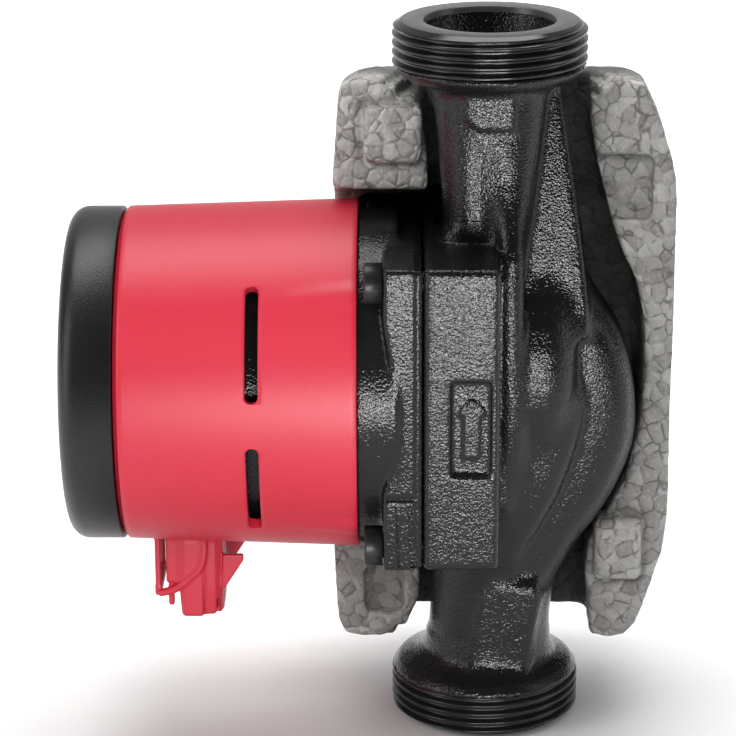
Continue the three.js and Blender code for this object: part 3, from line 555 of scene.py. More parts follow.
def foam_look():
    """Expanded bead foam: fused beads a few millimetres across with darker seams and pinholes."""
    look = Look("bead_foam", (0.30, 0.29, 0.27), 0.85)
    ripple = look.node("ShaderNodeTexNoise", {"Vector": look.place, "Scale": 1 / (1.6 * MM)})
    shift = {0: ripple.outputs["Color"], "Scale": 0.9 * MM}
    small = look.node("ShaderNodeVectorMath", shift, operation="SCALE")
    warp = look.node("ShaderNodeVectorMath", {0: look.place, 1: small.outputs[0]}, operation="ADD")
    place = warp.outputs[0]
    seam = look.cells(3.7, "DISTANCE_TO_EDGE", place=place)
    tone = look.ramp(look.cells(3.7, "F1", "Color", place=place), [(0.15, 0.0), (0.85, 1.0)])
    bead = look.mix(tone, (0.215, 0.207, 0.197), (0.41, 0.402, 0.39))
    mottle = look.noise(0.9, 3.0, 0.65)
    clouds = look.noise(6.0, 2.0)
    # the lighter mottled spots are partly the beads' own uneven tone and partly painted highlight
    bead = look.mix(look.ramp(mottle, [(0.50, 0.0), (0.72, 0.55)]), bead, (0.52, 0.51, 0.49))
    bead = look.mix(look.ramp(clouds, [(0.35, 0.35), (0.6, 0.0)]), bead, (0.15, 0.145, 0.135))
    edge = look.ramp(seam, [(0.02, 1.0), (0.10, 0.0)])
    broken = look.ramp(look.noise(2.6, 2.0), [(0.42, 0.1), (0.60, 1.0)])
    dark = look.math("MULTIPLY", edge, broken)
    bead = look.mix(look.math("MULTIPLY", dark, 0.72), bead, (0.06, 0.057, 0.052))
    pores = look.ramp(look.cells(0.9, "F1"), [(0.12, 1.0), (0.2, 0.0)])
    where = look.ramp(look.noise(5, 1.0), [(0.55, 0.0), (0.66, 1.0)])
    pits = look.math("MULTIPLY", pores, where)
    bead = look.mix(look.math("MULTIPLY", pits, 0.55), bead, (0.06, 0.055, 0.05))
    # painted shade: the foam inside the cavity is darkened almost to black
    look.color(look.mix(look.math("MULTIPLY", cavity_shade_mask(look), 0.8), bead, (0.045, 0.043, 0.040)))
    look.roughness(look.span(mottle, 0.5, 0.85))
    look.bump(look.ramp(seam, [(0.0, 0.0), (0.25, 1.0)]), 0.3)
    look.bump(mottle, 0.12)
    return look.material


def simple_look(name, low, high, rough, metallic=0.0, size=4.0, grain=0.4, depth=0.02, stretch=None):
    """A material whose colour wanders between two shades, with a fine grain in its relief."""
    look = Look(name, low, rough[0], metallic)
    patches = look.noise(size, 3.0)
    fine = look.noise(grain, place=look.stretch(stretch) if stretch else None)
    look.color(look.mix(look.span(patches, 0, 1), low, high))
    look.roughness(look.span(fine, *rough))
    look.bump(fine, depth)
    return look.material


def paint(obj, material):
    obj.data.materials.clear()
    obj.data.materials.append(material)
    return obj


LOOKS = {
    "cast_housing": cast_iron_look(),
    "motor_casting": motor_cast_look(),
    "red_plastic": red_look(),
    "black_plastic": black_plastic_look(),
    "bead_foam": foam_look(),
    "thread": machined_black_look(),
}

# What simple_look is told: two shades, a range of roughness and anything that is not as usual.
SIMPLE_LOOKS = {
    "panel_film": ((0.03, 0.032, 0.036), (0.04, 0.042, 0.047), (0.22, 0.3), {"size": 9}),
    "light_guide": ((0.10, 0.42, 0.13), (0.16, 0.52, 0.18), (0.1, 0.2), {"depth": 0.01}),
    "rubber": ((0.012, 0.012, 0.012), (0.02, 0.02, 0.02), (0.6, 0.75), {"grain": 0.2}),
    "stainless": ((0.5, 0.5, 0.5), (0.62, 0.62, 0.61), (0.18, 0.34),
                  {"metallic": 1.0, "stretch": (0.05, 1, 1)}),
    "bolt_steel": ((0.018, 0.018, 0.02), (0.035, 0.035, 0.037), (0.3, 0.46), {"metallic": 0.6}),
    "lamination": ((0.12, 0.12, 0.13), (0.2, 0.2, 0.21), (0.35, 0.5),
                   {"metallic": 0.9, "grain": 0.5, "depth": 0.08, "stretch": (1, 0.03, 0.03)}),
    "copper": ((0.42, 0.13, 0.04), (0.56, 0.21, 0.07), (0.25, 0.4),
               {"metallic": 0.9, "grain": 0.6, "depth": 0.12, "stretch": (0.04, 1, 1)}),
    "brass": ((0.55, 0.37, 0.12), (0.66, 0.47, 0.18), (0.2, 0.32), {"metallic": 1.0}),
    "ceramic": ((0.72, 0.70, 0.66), (0.82, 0.80, 0.76), (0.15, 0.25), {"depth": 0.005}),
    "carbon": ((0.025, 0.025, 0.027), (0.045, 0.045, 0.047), (0.4, 0.55), {}),
    "magnet": ((0.08, 0.08, 0.085), (0.14, 0.14, 0.145), (0.4, 0.55), {"metallic": 0.4}),
    "impeller_plastic": ((0.58, 0.54, 0.44), (0.70, 0.66, 0.56), (0.35, 0.5), {}),
    "board": ((0.012, 0.12, 0.045), (0.02, 0.17, 0.06), (0.25, 0.4), {"size": 3}),
    "capacitor_can": ((0.3, 0.32, 0.35), (0.42, 0.44, 0.47), (0.22, 0.35), {"metallic": 0.9}),
}
for look_name, (low_shade, high_shade, rough_range, unusual) in SIMPLE_LOOKS.items():
    LOOKS[look_name] = simple_look(look_name, low_shade, high_shade, rough_range, **unusual)


def finish_piece(obj, body, slot, node, look=None):
    """Paints a piece, hangs it on its body and hides the CAD node that it stands for."""
    paint(obj, LOOKS[look or slot])
    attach(obj, body)
    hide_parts(node)


# ---- cast pump housing ----

PAD_OUTLINE = [(-6.5, 77), (-6.5, 69.2), (-2.9, 66.3), (5.9, 66.3), (6.2, 77)]
LOWER_FLAT = [(-2.2, -55.0), (1.3, -50.8), (12.6, -51.4), (14.2, -55), (12.2, -66), (10.8, -78),
              (-6.0, -78), (-4.0, -66)]
RIB_OUTLINE = [(2, 78), (16.9, 78), (17.1, 73), (18.9, 62), (21.1, 47), (22.8, 34.3), (24.4, 21.4),
               (24.0, 14.5), (16.7, 13.0), (8, 18)]
RIB_ROOT = [(4, 60), (17.5, 60), (21.0, 47), (22.8, 34.3), (24.3, 21.4), (27.5, 12.5), (24, 0), (6, 0)]
BODY_HALF = 22.0
BODY_OUTLINE = [(-BODY_HALF, -28), (-16, -36), (16, -36), (BODY_HALF, -28), (BODY_HALF, 30), (15, 40),
                (-15, 40), (-BODY_HALF, 30)]
ARROW_OUTLINE = [(-4.6, 6.2), (-0.9, 2.2), (-2.6, 1.2), (-2.6, -9.4), (-6.6, -9.4), (-6.6, 1.2), (-8.3, 2.2)]
COLLAR_OUTLINE = [(0, 70), (14.4, 70), (15.4, 73.6), (18.2, 75.6), (22.0, 77.2), (23.3, 78.8), (23.3, 80.4),
                  (0, 80.4)]

# Each station is x, y, z and radius. Those outside the casting are on the near side, and the far side
# mirrors them.
OUTER_LOBE = [[1.7, -0.6, -72, 14.6], [2.0, -0.8, -62, 14.6], [4.9, -1.4, -50, 14.1],
              [12.1, -2.4, -37, 13.0], [19.6, -3.0, -26.2, 12.7], [24.2, -3.0, -13, 13.0],
              [21.9, -3.0, -2.4, 13.0], [15, -2.5, 3.6, 12], [6, -2, 4.5, 11]]
INNER_LOBE = [[18.5, -7.0, 2, 8.4], [15.8, -10.6, -6, 9.2], [13.0, -11.6, -14.5, 9.4],
              [9.6, -11.6, -24, 9.4], [6.0, -11.0, -32, 9.2], [2.8, -9.0, -40.5, 9.0], [0.8, -4.8, -54, 9.4]]
FRONT_LOBE = [[19.0, -4.0, 15, 10.0], [23.2, -5.0, 8, 10.6], [25.2, -5.4, -1, 10.8],
              [23.6, -5.4, -11, 10.8], [19.2, -5.0, -20, 10.4], [13.5, -4.5, -31, 10.0]]
OUTER_FLAT_Y = 15.0
INNER_FLAT_Y = 19.4
UPRIGHT_RIDGE = [[12.6, -7.0, 25, 6.0], [13.0, -12.6, 15.0, 8.2], [13.2, -15.0, 4.0, 8.4],
                 [12.8, -14.4, -5.0, 7.8], [12.0, -12.0, -13, 6.6]]
SLAB_RIDGE = [[4.2, -12.5, 60, 3.4], [4.7, -14.5, 50, 3.4], [5.0, -18.5, 40, 3.2], [5.2, -21.0, 32, 3.0],
              [5.4, -21.5, 8, 3.0], [5.8, -20.5, -10, 3.0], [6.2, -16, -22, 3.0]]
SUCTION_LINE = [[0, 0, -76, 11], [1.5, 0, -62, 11], [4.5, 0, -50, 11], [10, 0, -38, 11], [17, 0, -26, 10.8],
                [21.0, 0, -13, 10.5], [17.5, 0, -3, 10.4], [9, 0, 0, 10.4], [0, 0, 0, 10.4]]
OUTLET_LINE = [[-8, 14, 14, 9.4], [-6, 10, 28, 9.4], [-2, 2, 45, 9.5], [0, 0, 60, 9.8], [0, 0, 70, 10.2],
               [0, 0, 82, 11.8]]
INLET_FUNNEL = [[0, 0, -74, 11.2], [0, 0, -82, 12.2]]

CHAMBER_R = 27.5
CHAMBER_X = (-13.2, -4)
SPIRAL_SHIFT = 2.4          # how far the spiral's bulge lies off the chamber's axis
GASKET_R = 30.0
EYE_R = 13.9
RECESS_LOW = (-9.7, -BLOCK_Y - 6, -13.6)
RECESS_HIGH = (0.1, -BLOCK_Y + 1.5, 10.2)
ARROW_TOP_Y = -BLOCK_Y + 0.55


def outlet_neck(p):
    """Narrower across X than Y, with flattened corners, and wider towards the collar."""
    x, y, z = p.T
    up = (z - 47) / 26
    dip = 0.4 * np.exp(-((x + 3.0) / 1.5) ** 2) * np.clip((65 - z) / 6, 0, 1)
    across = np.abs(x - 0.2) - (11.4 + 2.3 * up)
    deep = np.abs(y) + dip - (16.9 + 0.5 * up)
    corner = (np.abs(x - 0.2) + np.abs(y)) / math.sqrt(2) - (17.3 + 0.8 * up)
    neck = smooth_max(smooth_max(across, deep, 4.0), corner, 4.0) - 0.3
    neck = smooth_max(neck, np.abs(z - 54) - 26, 1.0)
    pad = plate_xz(p, PAD_OUTLINE, -18.3, -13, 1.2)
    return smooth_min(neck, pad, 1.0)


def rib(p):
    """The flat web from the neck down to the elbow, thicker lower down."""
    x, y, z = p.T
    half = 9.0 + 0.12 * (76 - z)
    sheet = smooth_max(polygon(x, z, RIB_OUTLINE), np.abs(y) - half, 1.6)
    root = plate_xz(p, RIB_ROOT, -7.0, 7.0, 2.5)
    return smooth_min(sheet, root, 3.0)


def inlet_neck(p):
    """A round neck with a flat on its front that widens down to the collar."""
    x, y, z = p.T
    tube = np.hypot(x - 0.4, y) - (14.1 + 1.6 * np.clip((-60 - z) / 14, 0, 1) ** 2)
    tube = smooth_max(tube, np.abs(z + 58) - 22, 1.0)
    return smooth_min(tube, plate_xz(p, LOWER_FLAT, -15.9, -2, 2.6), 1.6)


def collar(p, sign):
    """The shoulder behind the thread, at the top for sign 1 and at the bottom for sign -1."""
    return lathe_z(p, [(radius, sign * z) for radius, z in COLLAR_OUTLINE]) - 0.25


def elbow(near):
    """The two lobes that carry the suction passage, with slightly flattened fronts."""
    outer = smooth_min(smooth_chain(near, OUTER_LOBE, 34), smooth_chain(near, FRONT_LOBE, 20), 3.0)
    outer = smooth_max(outer, -OUTER_FLAT_Y - near[:, 1], 4.0)
    inner = smooth_max(smooth_chain(near, INNER_LOBE, 24), -INNER_FLAT_Y - near[:, 1], 3.0)
    return smooth_min(outer, inner, 1.2)


def housing_field(p):
    """The sand-cast shape, before its machined faces are cut."""
    near = p * np.array([1, 0, 1]) - np.abs(p[:, 1])[:, None] * np.array([0, 1, 0])
    front = block(p, (SEAM_X, -BLOCK_Y, -BLOCK_Z), (BLOCK_BACK_X, BLOCK_Y, BLOCK_Z), 1.5)
    body = plate_yz(p, BODY_OUTLINE, -12, 6.2, 3.0)
    core = round_x(p, 20.5, -4, 8.4, 4.0)
    upper = smooth_min(outlet_neck(p), collar(p, 1), 2.0)
    upper = smooth_min(upper, smooth_chain(near, SLAB_RIDGE, 16), 4.0)
    upper = smooth_min(upper, rib(p), 1.3)
    upper = smooth_min(upper, smooth_min(body, core, 2.5), 4.0)
    lower = smooth_min(smooth_min(inlet_neck(p), collar(p, -1), 2.0), elbow(near), 3.0)
    lower = smooth_min(lower, smooth_chain(near, UPRIGHT_RIDGE, 12), 2.0)
    whole = smooth_min(smooth_min(upper, lower, 4.0), front, 0.9)
    return np.maximum(whole, np.abs(p[:, 2]) - CAST_END)


def flow_arrow(p):
    """The recess in the block's near face, round a raised arrow that a thin groove outlines."""
    arrow = plate_xz(p, ARROW_OUTLINE, ARROW_TOP_Y, -BLOCK_Y + 6, 0.35)
    groove = np.maximum(np.abs(arrow + 0.75) - 0.32, p[:, 1] + BLOCK_Y - 1.1)
    recess = np.maximum(block(p, RECESS_LOW, RECESS_HIGH, 0.9), -arrow)
    return np.minimum(recess, np.maximum(groove, arrow))


def housing_cuts(p):
    """Everything that is hollow: water passages, chamber, bolt holes and the arrow's recess."""
    parts = [smooth_chain(p, SUCTION_LINE, 30), smooth_chain(p, OUTLET_LINE, 16),
             smooth_chain(p, INLET_FUNNEL, 4)]
    chamber = round_x(p, CHAMBER_R, *CHAMBER_X, 1.5)
    spiral = round_x(p, CHAMBER_R + 0.5, *CHAMBER_X, 1.5, y=SPIRAL_SHIFT, z=SPIRAL_SHIFT)
    parts.append(np.minimum(chamber, spiral))
    parts.append(round_x(p, GASKET_R, SEAM_X - 3, -12.6, 0.2))
    parts.append(round_x(p, EYE_R, -5, 1.8, 0.2))
    parts += [round_x(p, BOLT_HOLE_R, SEAM_X - 3, -5.5, 0.2, *spot) for spot in BOLT_SPOTS]
    parts.append(flow_arrow(p))
    return join_all(parts, 0.5)


def casting(p):
    return smooth_max(housing_field(p), -housing_cuts(p), 0.45)


def cast_housing():
    step = 0.9 if FINE else 1.5
    return net_object("pump_casting", casting, (-26, -BLOCK_Y - 0.5, -80), (39, BLOCK_Y + 0.5, 80), step)


def thread_radius(z, turn):
    """The thread's radius at a height, where turn is the share of a turn round the axis."""
    phase = (z - COLLAR_Z) / THREAD_PITCH - turn
    ridge = 0.5 + 0.5 * math.cos(2 * math.pi * phase)
    ridge = min(1.0, max(0.0, 0.5 + (ridge - 0.5) * 1.35))
    radius = THREAD_R - THREAD_DEPTH * (1 - ridge)
    fade = min(1.0, max(0.0, (z - COLLAR_Z) / THREAD_RISE))
    radius = COLLAR_R + (radius - COLLAR_R) * fade
    chamfer = max(0.0, (z - (PORT - FACE_CHAMFER)) / FACE_CHAMFER)
    return min(radius, THREAD_R + 0.1 - (THREAD_R - FACE_R) * chamfer)


def thread_collar(name, sign):
    """A port's machined end: G 1 1/2 thread outside, flat face, and a mouth that narrows inwards."""
    sides = 144 if FINE else 72
    rows = 96 if FINE else 48
    mouth = [(PORT, MOUTH_R), (PORT - 2.5, MOUTH_R - 0.5), (PORT - 6, MOUTH_R - 2.2),
             (PORT - 9.4, MOUTH_R - 3.9), (COLLAR_Z, 11.9)]
    inner = rounded([(PORT, FACE_R), *mouth], 0.5, 3, closed=False)[1:]
    angles = [2 * math.pi * i / sides for i in range(sides)]
    rings = []
    for row in range(rows + 1):
        z = COLLAR_Z + (PORT - COLLAR_Z) * row / rows
        rings.append((z, [thread_radius(z, sign * i / sides) for i in range(sides)]))
    rings += [(z, [radius] * sides) for z, radius in inner]
    verts, faces = [], []
    for row, (z, radii) in enumerate(rings):
        verts += [(r * math.cos(a), r * math.sin(a), sign * z) for r, a in zip(radii, angles)]
        below, above = row * sides, ((row + 1) % len(rings)) * sides
        for i in range(sides):
            j = (i + 1) % sides
            faces.append((below + i, below + j, above + j, above + i))
    obj = mesh_object(name, verts, faces)
    face_out(obj)
    return obj


finish_piece(cast_housing(), "pump", "cast_housing", "pump_housing")
for thread_name, thread_sign in (("outlet_thread", 1), ("inlet_thread", -1)):
    finish_piece(thread_collar(thread_name, thread_sign), "pump", "cast_housing", "pump_housing", "thread")


# ---- motor housing and bolts ----

FLANGE_END = SEAM_X - 0.35
FLANGE_SIDE = [(-25.9, 38), (-25.9, 24.7), (-23.4, 8.5), (-22.5, 1), (-22.4, -5.6), (-22.9, -9.6),
               (-26, -18.6), (-26, -38), (FLANGE_END, -38), (FLANGE_END, 38)]
FLANGE_TOP = [(-25.9, 40), (-25.9, 25), (-22.4, 8), (-22.4, -8), (-25.9, -25), (-25.9, -40),
              (FLANGE_END, -40), (FLANGE_END, 40)]
RIB_SLOTS = [[(-22.95, -21.5), (-22.6, -21.5), (-21.9, -37.1), (-22.4, -37.1)],
             [(-20.0, -21.5), (-19.1, -21.5), (-17.7, -37.1), (-19.3, -37.1)]]
SLOT_FLOOR_Y = 38.6
CAN_R = 37.2
STATOR_ROOM_R = 34.8
SPIGOT_R = 29.6
ROTOR_ROOM_R = 16.9
CHAMBER_ROOM_R = 26.8
RIM_X = -18.2
LEDGE_Z = -19.6
LEDGE_X = -17.6


def motor_field(p):
    """The square flange, the barrel behind it and the can that holds the stator."""
    x, y, z = p.T
    flange = np.maximum(plate_xz(p, FLANGE_SIDE, -BLOCK_Y, BLOCK_Y, 0.8),
                        plate_xy(p, FLANGE_TOP, -BLOCK_Z, BLOCK_Z, 0.8))
    whole = smooth_min(flange, round_x(p, MOTOR_R, -33.2, -22.0, 1.4), 1.6)
    can = round_x(p, CAN_R, -69.8, -20, 0.8)
    spigot = round_x(p, SPIGOT_R, SEAM_X - 1, -14.8, 0.4)
    whole = np.minimum(np.minimum(whole, can), spigot)
    head_room = [round_x(p, BOLT_HEAD_R + 0.45, -40, LUG_X, 0.4, *spot) for spot in BOLT_SPOTS]
    shanks = [round_x(p, BOLT_HOLE_R, -40, 0, 0.2, *spot) for spot in BOLT_SPOTS]
    whole = smooth_max(whole, -join_all(head_room, 0.2), 0.5)
    whole = np.maximum(whole, -join_all(shanks, 0.2))
    hollow = join_all([round_x(p, STATOR_ROOM_R, -75, -28.6, 0.3), round_x(p, ROTOR_ROOM_R, -40, -16, 0.2),
                       round_x(p, CHAMBER_ROOM_R, -17.5, -10, 0.2)], 0.3)
    whole = np.maximum(whole, -hollow)
    rim = np.maximum(RIM_X - x, np.minimum(BLOCK_Y - 0.45 - np.abs(y), BLOCK_Z - 0.45 - np.abs(z)))
    whole = smooth_max(whole, -rim, 0.25)
    ledge = np.maximum(np.abs(z - LEDGE_Z) - 0.35, np.maximum(x - LEDGE_X, BLOCK_Y - 0.5 - np.abs(y)))
    return smooth_max(whole, -ledge, 0.25)


def prism_y(points, y0, y1):
    """A straight-sided cutter: an outline in (x, z) between two depths."""
    count = len(points)
    verts = [(x, y, z) for y in (y0, y1) for x, z in points]
    faces = [tuple(range(count)), tuple(range(2 * count - 1, count - 1, -1))]
    faces += [(i, (i + 1) % count, count + (i + 1) % count, count + i) for i in range(count)]
    obj = mesh_object("cutter", verts, faces, smooth=False)
    face_out(obj)
    return obj


def motor_casting():
    step = 0.8 if FINE else 1.4
    obj = net_object("motor_casting", motor_field, (-70, -42, -42), (-14.6, 42, 42), step)
    cutters = []
    for points in RIB_SLOTS:
        for side in (-1, 1):
            cutters.append(prism_y(points, *sorted((side * SLOT_FLOOR_Y, side * 44))))
    return carve(obj, cutters)


SHANK_R = 3.0
SHANK_END = -16.5           # where the plain shank ends and the thread begins
BOLT_TIP = -6.5
BOLT_TURNS = 17
TURN_STEP = 0.15            # a quarter of the bolt thread's pitch
HEX_DEPTH = 2.7
HEX_HALF = 2.5              # half the 5 mm across the socket's flats
SOCKET_EDGE_R = 2.95
KNURL_SHARE = 0.975


def bolt(name, y, z):
    """A socket-head cap screw lying along X."""
    floor_x = BOLT_HEAD_X + HEX_DEPTH
    under_x = LUG_X - 0.3
    corners = [(BOLT_HEAD_X, SOCKET_EDGE_R), (BOLT_HEAD_X, BOLT_HEAD_R), (under_x, BOLT_HEAD_R)]
    head = rounded(corners, 0.55, 4, closed=False)
    profile = [(floor_x, 0), (floor_x, 2.4), (BOLT_HEAD_X + 0.3, 2.75), *head, (under_x, SHANK_R),
               (SHANK_END, SHANK_R)]
    for i in range(BOLT_TURNS * 4):
        profile.append((SHANK_END + i * TURN_STEP, 2.95 if i % 4 in (1, 2) else 2.6))
    profile += [(BOLT_TIP - 0.4, 2.5), (BOLT_TIP, 2.1), (BOLT_TIP, 0)]
    obj = turned(name, profile, 48, place=(0, y, z))
    squared_socket(obj, y, z)
    knurl(obj, y, z)
    return obj


def squared_socket(obj, y, z):
    """Turns the round recess in the bolt head into a hexagon."""
    for v in obj.data.vertices:
        dy, dz = v.co.y / MM - y, v.co.z / MM - z
        radius = math.hypot(dy, dz)
        if v.co.x / MM > BOLT_HEAD_X + HEX_DEPTH + 0.1 or not 1.5 < radius < 2.8:
            continue
        sector = (math.atan2(dz, dy) + math.pi / 6) % (math.pi / 3) - math.pi / 6
        wanted = HEX_HALF / math.cos(sector)
        v.co.y = (y + dy / radius * wanted) * MM
        v.co.z = (z + dz / radius * wanted) * MM


def knurl(obj, y, z):
    """Fine straight knurling round the bolt head."""
    for i, v in enumerate(obj.data.vertices):
        dy, dz = v.co.y / MM - y, v.co.z / MM - z
        if math.hypot(dy, dz) > BOLT_HEAD_R - 0.15 and i % 2:
            v.co.y = (y + dy * KNURL_SHARE) * MM
            v.co.z = (z + dz * KNURL_SHARE) * MM


finish_piece(motor_casting(), "pump", "motor_casting", "motor_housing")
for number, (bolt_y, bolt_z) in enumerate(BOLT_SPOTS, 1):
    screw = bolt(f"cap_screw_{number}", bolt_y, bolt_z)
    finish_piece(screw, "pump", "bolt_steel", f"flange_bolt_{number}")


# ---- red electronics housing ----

# The shell steps down at its left end, which leaves a shadow gap beside the cap.
STEP_R = SHELL_LEFT_R - 1.3
STEP_X = SHELL_LEFT_X + 0.85
VENT_ANGLES = ((7.5, 46.5), (-46.0, -7.5))
FLUTE_ANGLES = (42.5, -42.5)
FLUTE_START_X = -52
FLUTE_RUN = 18
FLUTE_HEIGHT = 0.6


def shell_radius(x):
    t = (x - SHELL_LEFT_X) / (SHELL_RIGHT_X - SHELL_LEFT_X)
    return SHELL_LEFT_R + t * (SHELL_RIGHT_R - SHELL_LEFT_R)


def red_shell():
    """The drafted barrel, turned from its profile, with the four vent slots cut through."""
    sides = 192 if FINE else 96
    outer = [(SHELL_LEFT_X, STEP_R), (STEP_X, STEP_R), (STEP_X, SHELL_LEFT_R - 0.25),
             (SHELL_LEFT_X + 1.1, SHELL_LEFT_R)]
    steps = 44
    for i in range(1, steps):
        x = SHELL_LEFT_X + 1.1 + (SHELL_RIGHT_X - SHELL_LEFT_X - 1.5) * i / steps
        outer.append((x, shell_radius(x)))
    outer += [(SHELL_RIGHT_X - 0.3, SHELL_RIGHT_R), (SHELL_RIGHT_X, SHELL_RIGHT_R - 0.3)]
    inner = [(SHELL_RIGHT_X, SHELL_RIGHT_R - SHELL_WALL), (SHELL_LEFT_X, STEP_R - SHELL_WALL)]
    obj = turned("red_shell", outer + inner, sides)
    flutes(obj)
    return carve(obj, [slot_cutter(side, *angles) for side in (0, 180) for angles in VENT_ANGLES])


def flutes(obj):
    """Low swellings that open towards the right end, in line with the screws."""
    for v in obj.data.vertices:
        x, y, z = v.co / MM
        r = math.hypot(y, z)
        if r < shell_radius(x) - 0.5:
            continue
        around = math.degrees(math.atan2(z, abs(y)))
        rise = min(1.0, max(0.0, (x - FLUTE_START_X) / FLUTE_RUN))
        for centre in FLUTE_ANGLES:
            share = max(0.0, 1 - abs(around - centre) / (1.4 + 3.4 * rise))
            lift = FLUTE_HEIGHT * rise * min(1.0, 2.2 * share)
            v.co.y += y / r * lift * MM
            v.co.z += z / r * lift * MM


def slot_cutter(side, low, high):
    """A bent bar with round ends that cuts one vent slot."""
    steps, end_steps = 28, 6
    half_angle = math.degrees(SLOT_HALF / SHELL_RIGHT_R)
    verts, faces = [], []
    for i in range(steps + 1):
        from_end = min(i, steps - i, end_steps)
        turn = math.pi / 2 * from_end / end_steps
        inset = half_angle * (1 - math.cos(turn))
        half = max(0.05, SLOT_HALF * math.sin(turn))
        if i <= end_steps:
            angle = low + inset
        elif i >= steps - end_steps:
            angle = high - inset
        else:
            share = (i - end_steps) / (steps - 2 * end_steps)
            angle = low + half_angle + (high - low - 2 * half_angle) * share
        angle = math.radians(side + angle if side == 0 else side - angle)
        for radius in (38.5, 47.0):
            for x in (SLOT_X - half, SLOT_X + half):
                verts.append((x, -radius * math.cos(angle), radius * math.sin(angle)))
    for a in range(0, 4 * steps, 4):
        for m, n in ((0, 1), (1, 3), (3, 2), (2, 0)):
            faces.append((a + m, a + n, a + 4 + n, a + 4 + m))
    last = 4 * steps
    faces += [(0, 2, 3, 1), (last, last + 1, last + 3, last + 2)]
    obj = mesh_object("cutter", verts, faces, smooth=False)
    face_out(obj)
    return obj


PLUG_CORE = [(-78.0, -9.3), (-71.6, -9.3), (-71.2, -9.0), (-69, -8.8), (-67.2, -7.2), (-66.5, -4.6),
             (-66.5, 4.6), (-67.2, 7.2), (-69, 8.8), (-71.2, 9.0), (-71.6, 9.3), (-78.0, 9.3)]
PLUG_BOTTOM = -62.7
WING_OUTLINE = [(-67, -46.4), (-61.7, -46.4), (-61.7, -48.0), (-66.4, -55.4), (-67.4, -55.4)]
BRACE_LINE = [[-71.6, 9.3, -42, 0.85], [-71.7, 9.4, -46, 0.85], [-72.6, 9.4, -49.2, 0.85],
              [-75.4, 9.4, -52.2, 0.9], [-79.0, 9.2, -55.2, 1.0], [-82.6, 8.8, -56.4, 1.0]]


def plug_side(p, side):
    """The rail, latch wing, curved brace and prong on one side of the socket."""
    q = p * np.array([1, side, 1])
    return [block(q, (-84.2, 6.4, -57.0), (-82.8, 8.6, -38), 0.4),
            slab(polygon(q[:, 0], q[:, 2], WING_OUTLINE), q[:, 1], 6.6, 8.0, 0.35),
            smooth_chain(q, BRACE_LINE, 18),
            block(q, (-80.9, 7.2, -60.0), (-79.4, 8.8, -54), 0.6)]


def plug_socket_field(p):
    """The plug socket under the shell, with its guide rails, latch wing and curved brace."""
    x, y, z = p.T
    shell = np.hypot(y, z) - (shell_radius(x) - 0.06)
    taper = np.clip((-z - 55) / 8, 0, 1)
    whole = slab(polygon(x, y, PLUG_CORE) + 0.5 * taper, z, PLUG_BOTTOM, -38, 0.7)
    front_bar = block(p, (-77.2, -9.8, PLUG_BOTTOM), (-72.0, 9.8, -42), 0.6)
    shelf = block(p, (-81.4, -8.9, -54.0), (-71.0, 8.9, -38), 0.8)
    bridge = block(p, (-84.2, -8.6, -57.4), (-82.6, 8.6, -54.4), 0.5)
    whole = smooth_min(smooth_min(whole, front_bar, 0.5), shelf, 0.8)
    whole = smooth_min(whole, join_all(plug_side(p, -1) + plug_side(p, 1), 0.35), 0.5)
    whole = smooth_min(whole, bridge, 0.5)
    mouth = block(p, (-76.4, -7.7, -70), (-68.0, 7.7, -46), 1.4)
    window = block(p, (-82.4, -7.2, -53.0), (-78.6, 7.2, -30), 0.5)
    whole = smooth_max(whole, -mouth, 0.4)
    whole = smooth_min(whole, np.maximum(shell, -shell - 1.4), 1.6)
    near = block(p, (-85.4, -12.6, -66), (-59.6, 12.6, -37.4), 2.0)
    whole = np.maximum(np.maximum(whole, near), -window)
    return np.maximum(whole, -(shell + 1.0))


def plug_socket():
    step = 0.42 if FINE else 0.7
    return net_object("plug_socket", plug_socket_field, (-86, -13, -64), (-59, 13, -37), step)


finish_piece(red_shell(), "pump", "red_plastic", "electronics_housing")
finish_piece(plug_socket(), "pump", "red_plastic", "electronics_housing")


# ---- front cover and controls ----

def front_cover():
    """The black cap: a rounded rim round the well that holds the control panel."""
    r = SHELL_LEFT_R
    profile = [(COVER_X + 4.0, 0), (COVER_X + 4.0, 38.2), (-97, r - 2.6), (-90.8, r - 2.4), (-90.8, r - 0.3),
               (-91.1, r)]
    centre_x, centre_r = COVER_X + COVER_ROUND, r - COVER_ROUND
    for i in range(9):
        angle = math.radians(90 * i / 8)
        profile.append((centre_x - COVER_ROUND * math.sin(angle), centre_r + COVER_ROUND * math.cos(angle)))
    profile += [(COVER_X, PANEL_R + 0.3), (COVER_X + 0.15, PANEL_R), (COVER_X + 1.7, PANEL_R - 0.1),
                (COVER_X + 1.7, 0)]
    return turned("end_cap", profile, 144 if FINE else 72)


finish_piece(front_cover(), "pump", "black_plastic", "front_cover")


# ---- insulation half ----

FOAM_OUTLINE = [(-39.2, 46), (-38.2, 57), (-37.3, 68), (-36.4, 72.4), (-33.6, 74.6), (-29, 75.2),
                (29.6, 75.0), (34.6, 74.9), (38.2, 73.2), (40.4, 68.4), (42.8, 63), (45.2, 55), (46.8, 49),
                (47.3, 44), (47.4, 14), (46.9, -10), (47.1, -36), (46.5, -43), (45.4, -49.8), (42.7, -58.7),
                (40.6, -65.6), (38.8, -69.8), (36.4, -72.6), (32.8, -73.9), (-32.5, -73.4), (-36.2, -72.2),
                (-37.7, -68.8), (-38.5, -63), (-39.4, -48)]
FOAM_DEPTH = 54.0
FOAM_SIDE = [(0.3, 75.2), (13, 75.2), (24, 73.2), (36, 67), (46, 57), (52, 49), (FOAM_DEPTH, 43),
             (FOAM_DEPTH, -43), (52, -49), (46, -57), (36, -67), (24, -72.0), (13, -74), (0.3, -74)]
FOAM_PLAN = [(-40, 0.3), (48, 0.3), (48, 24), (46.2, 34), (41, 43), (31, 50.5), (20, FOAM_DEPTH),
             (-26, FOAM_DEPTH), (-34, 52.5), (-38.5, 48), (-40, 42)]
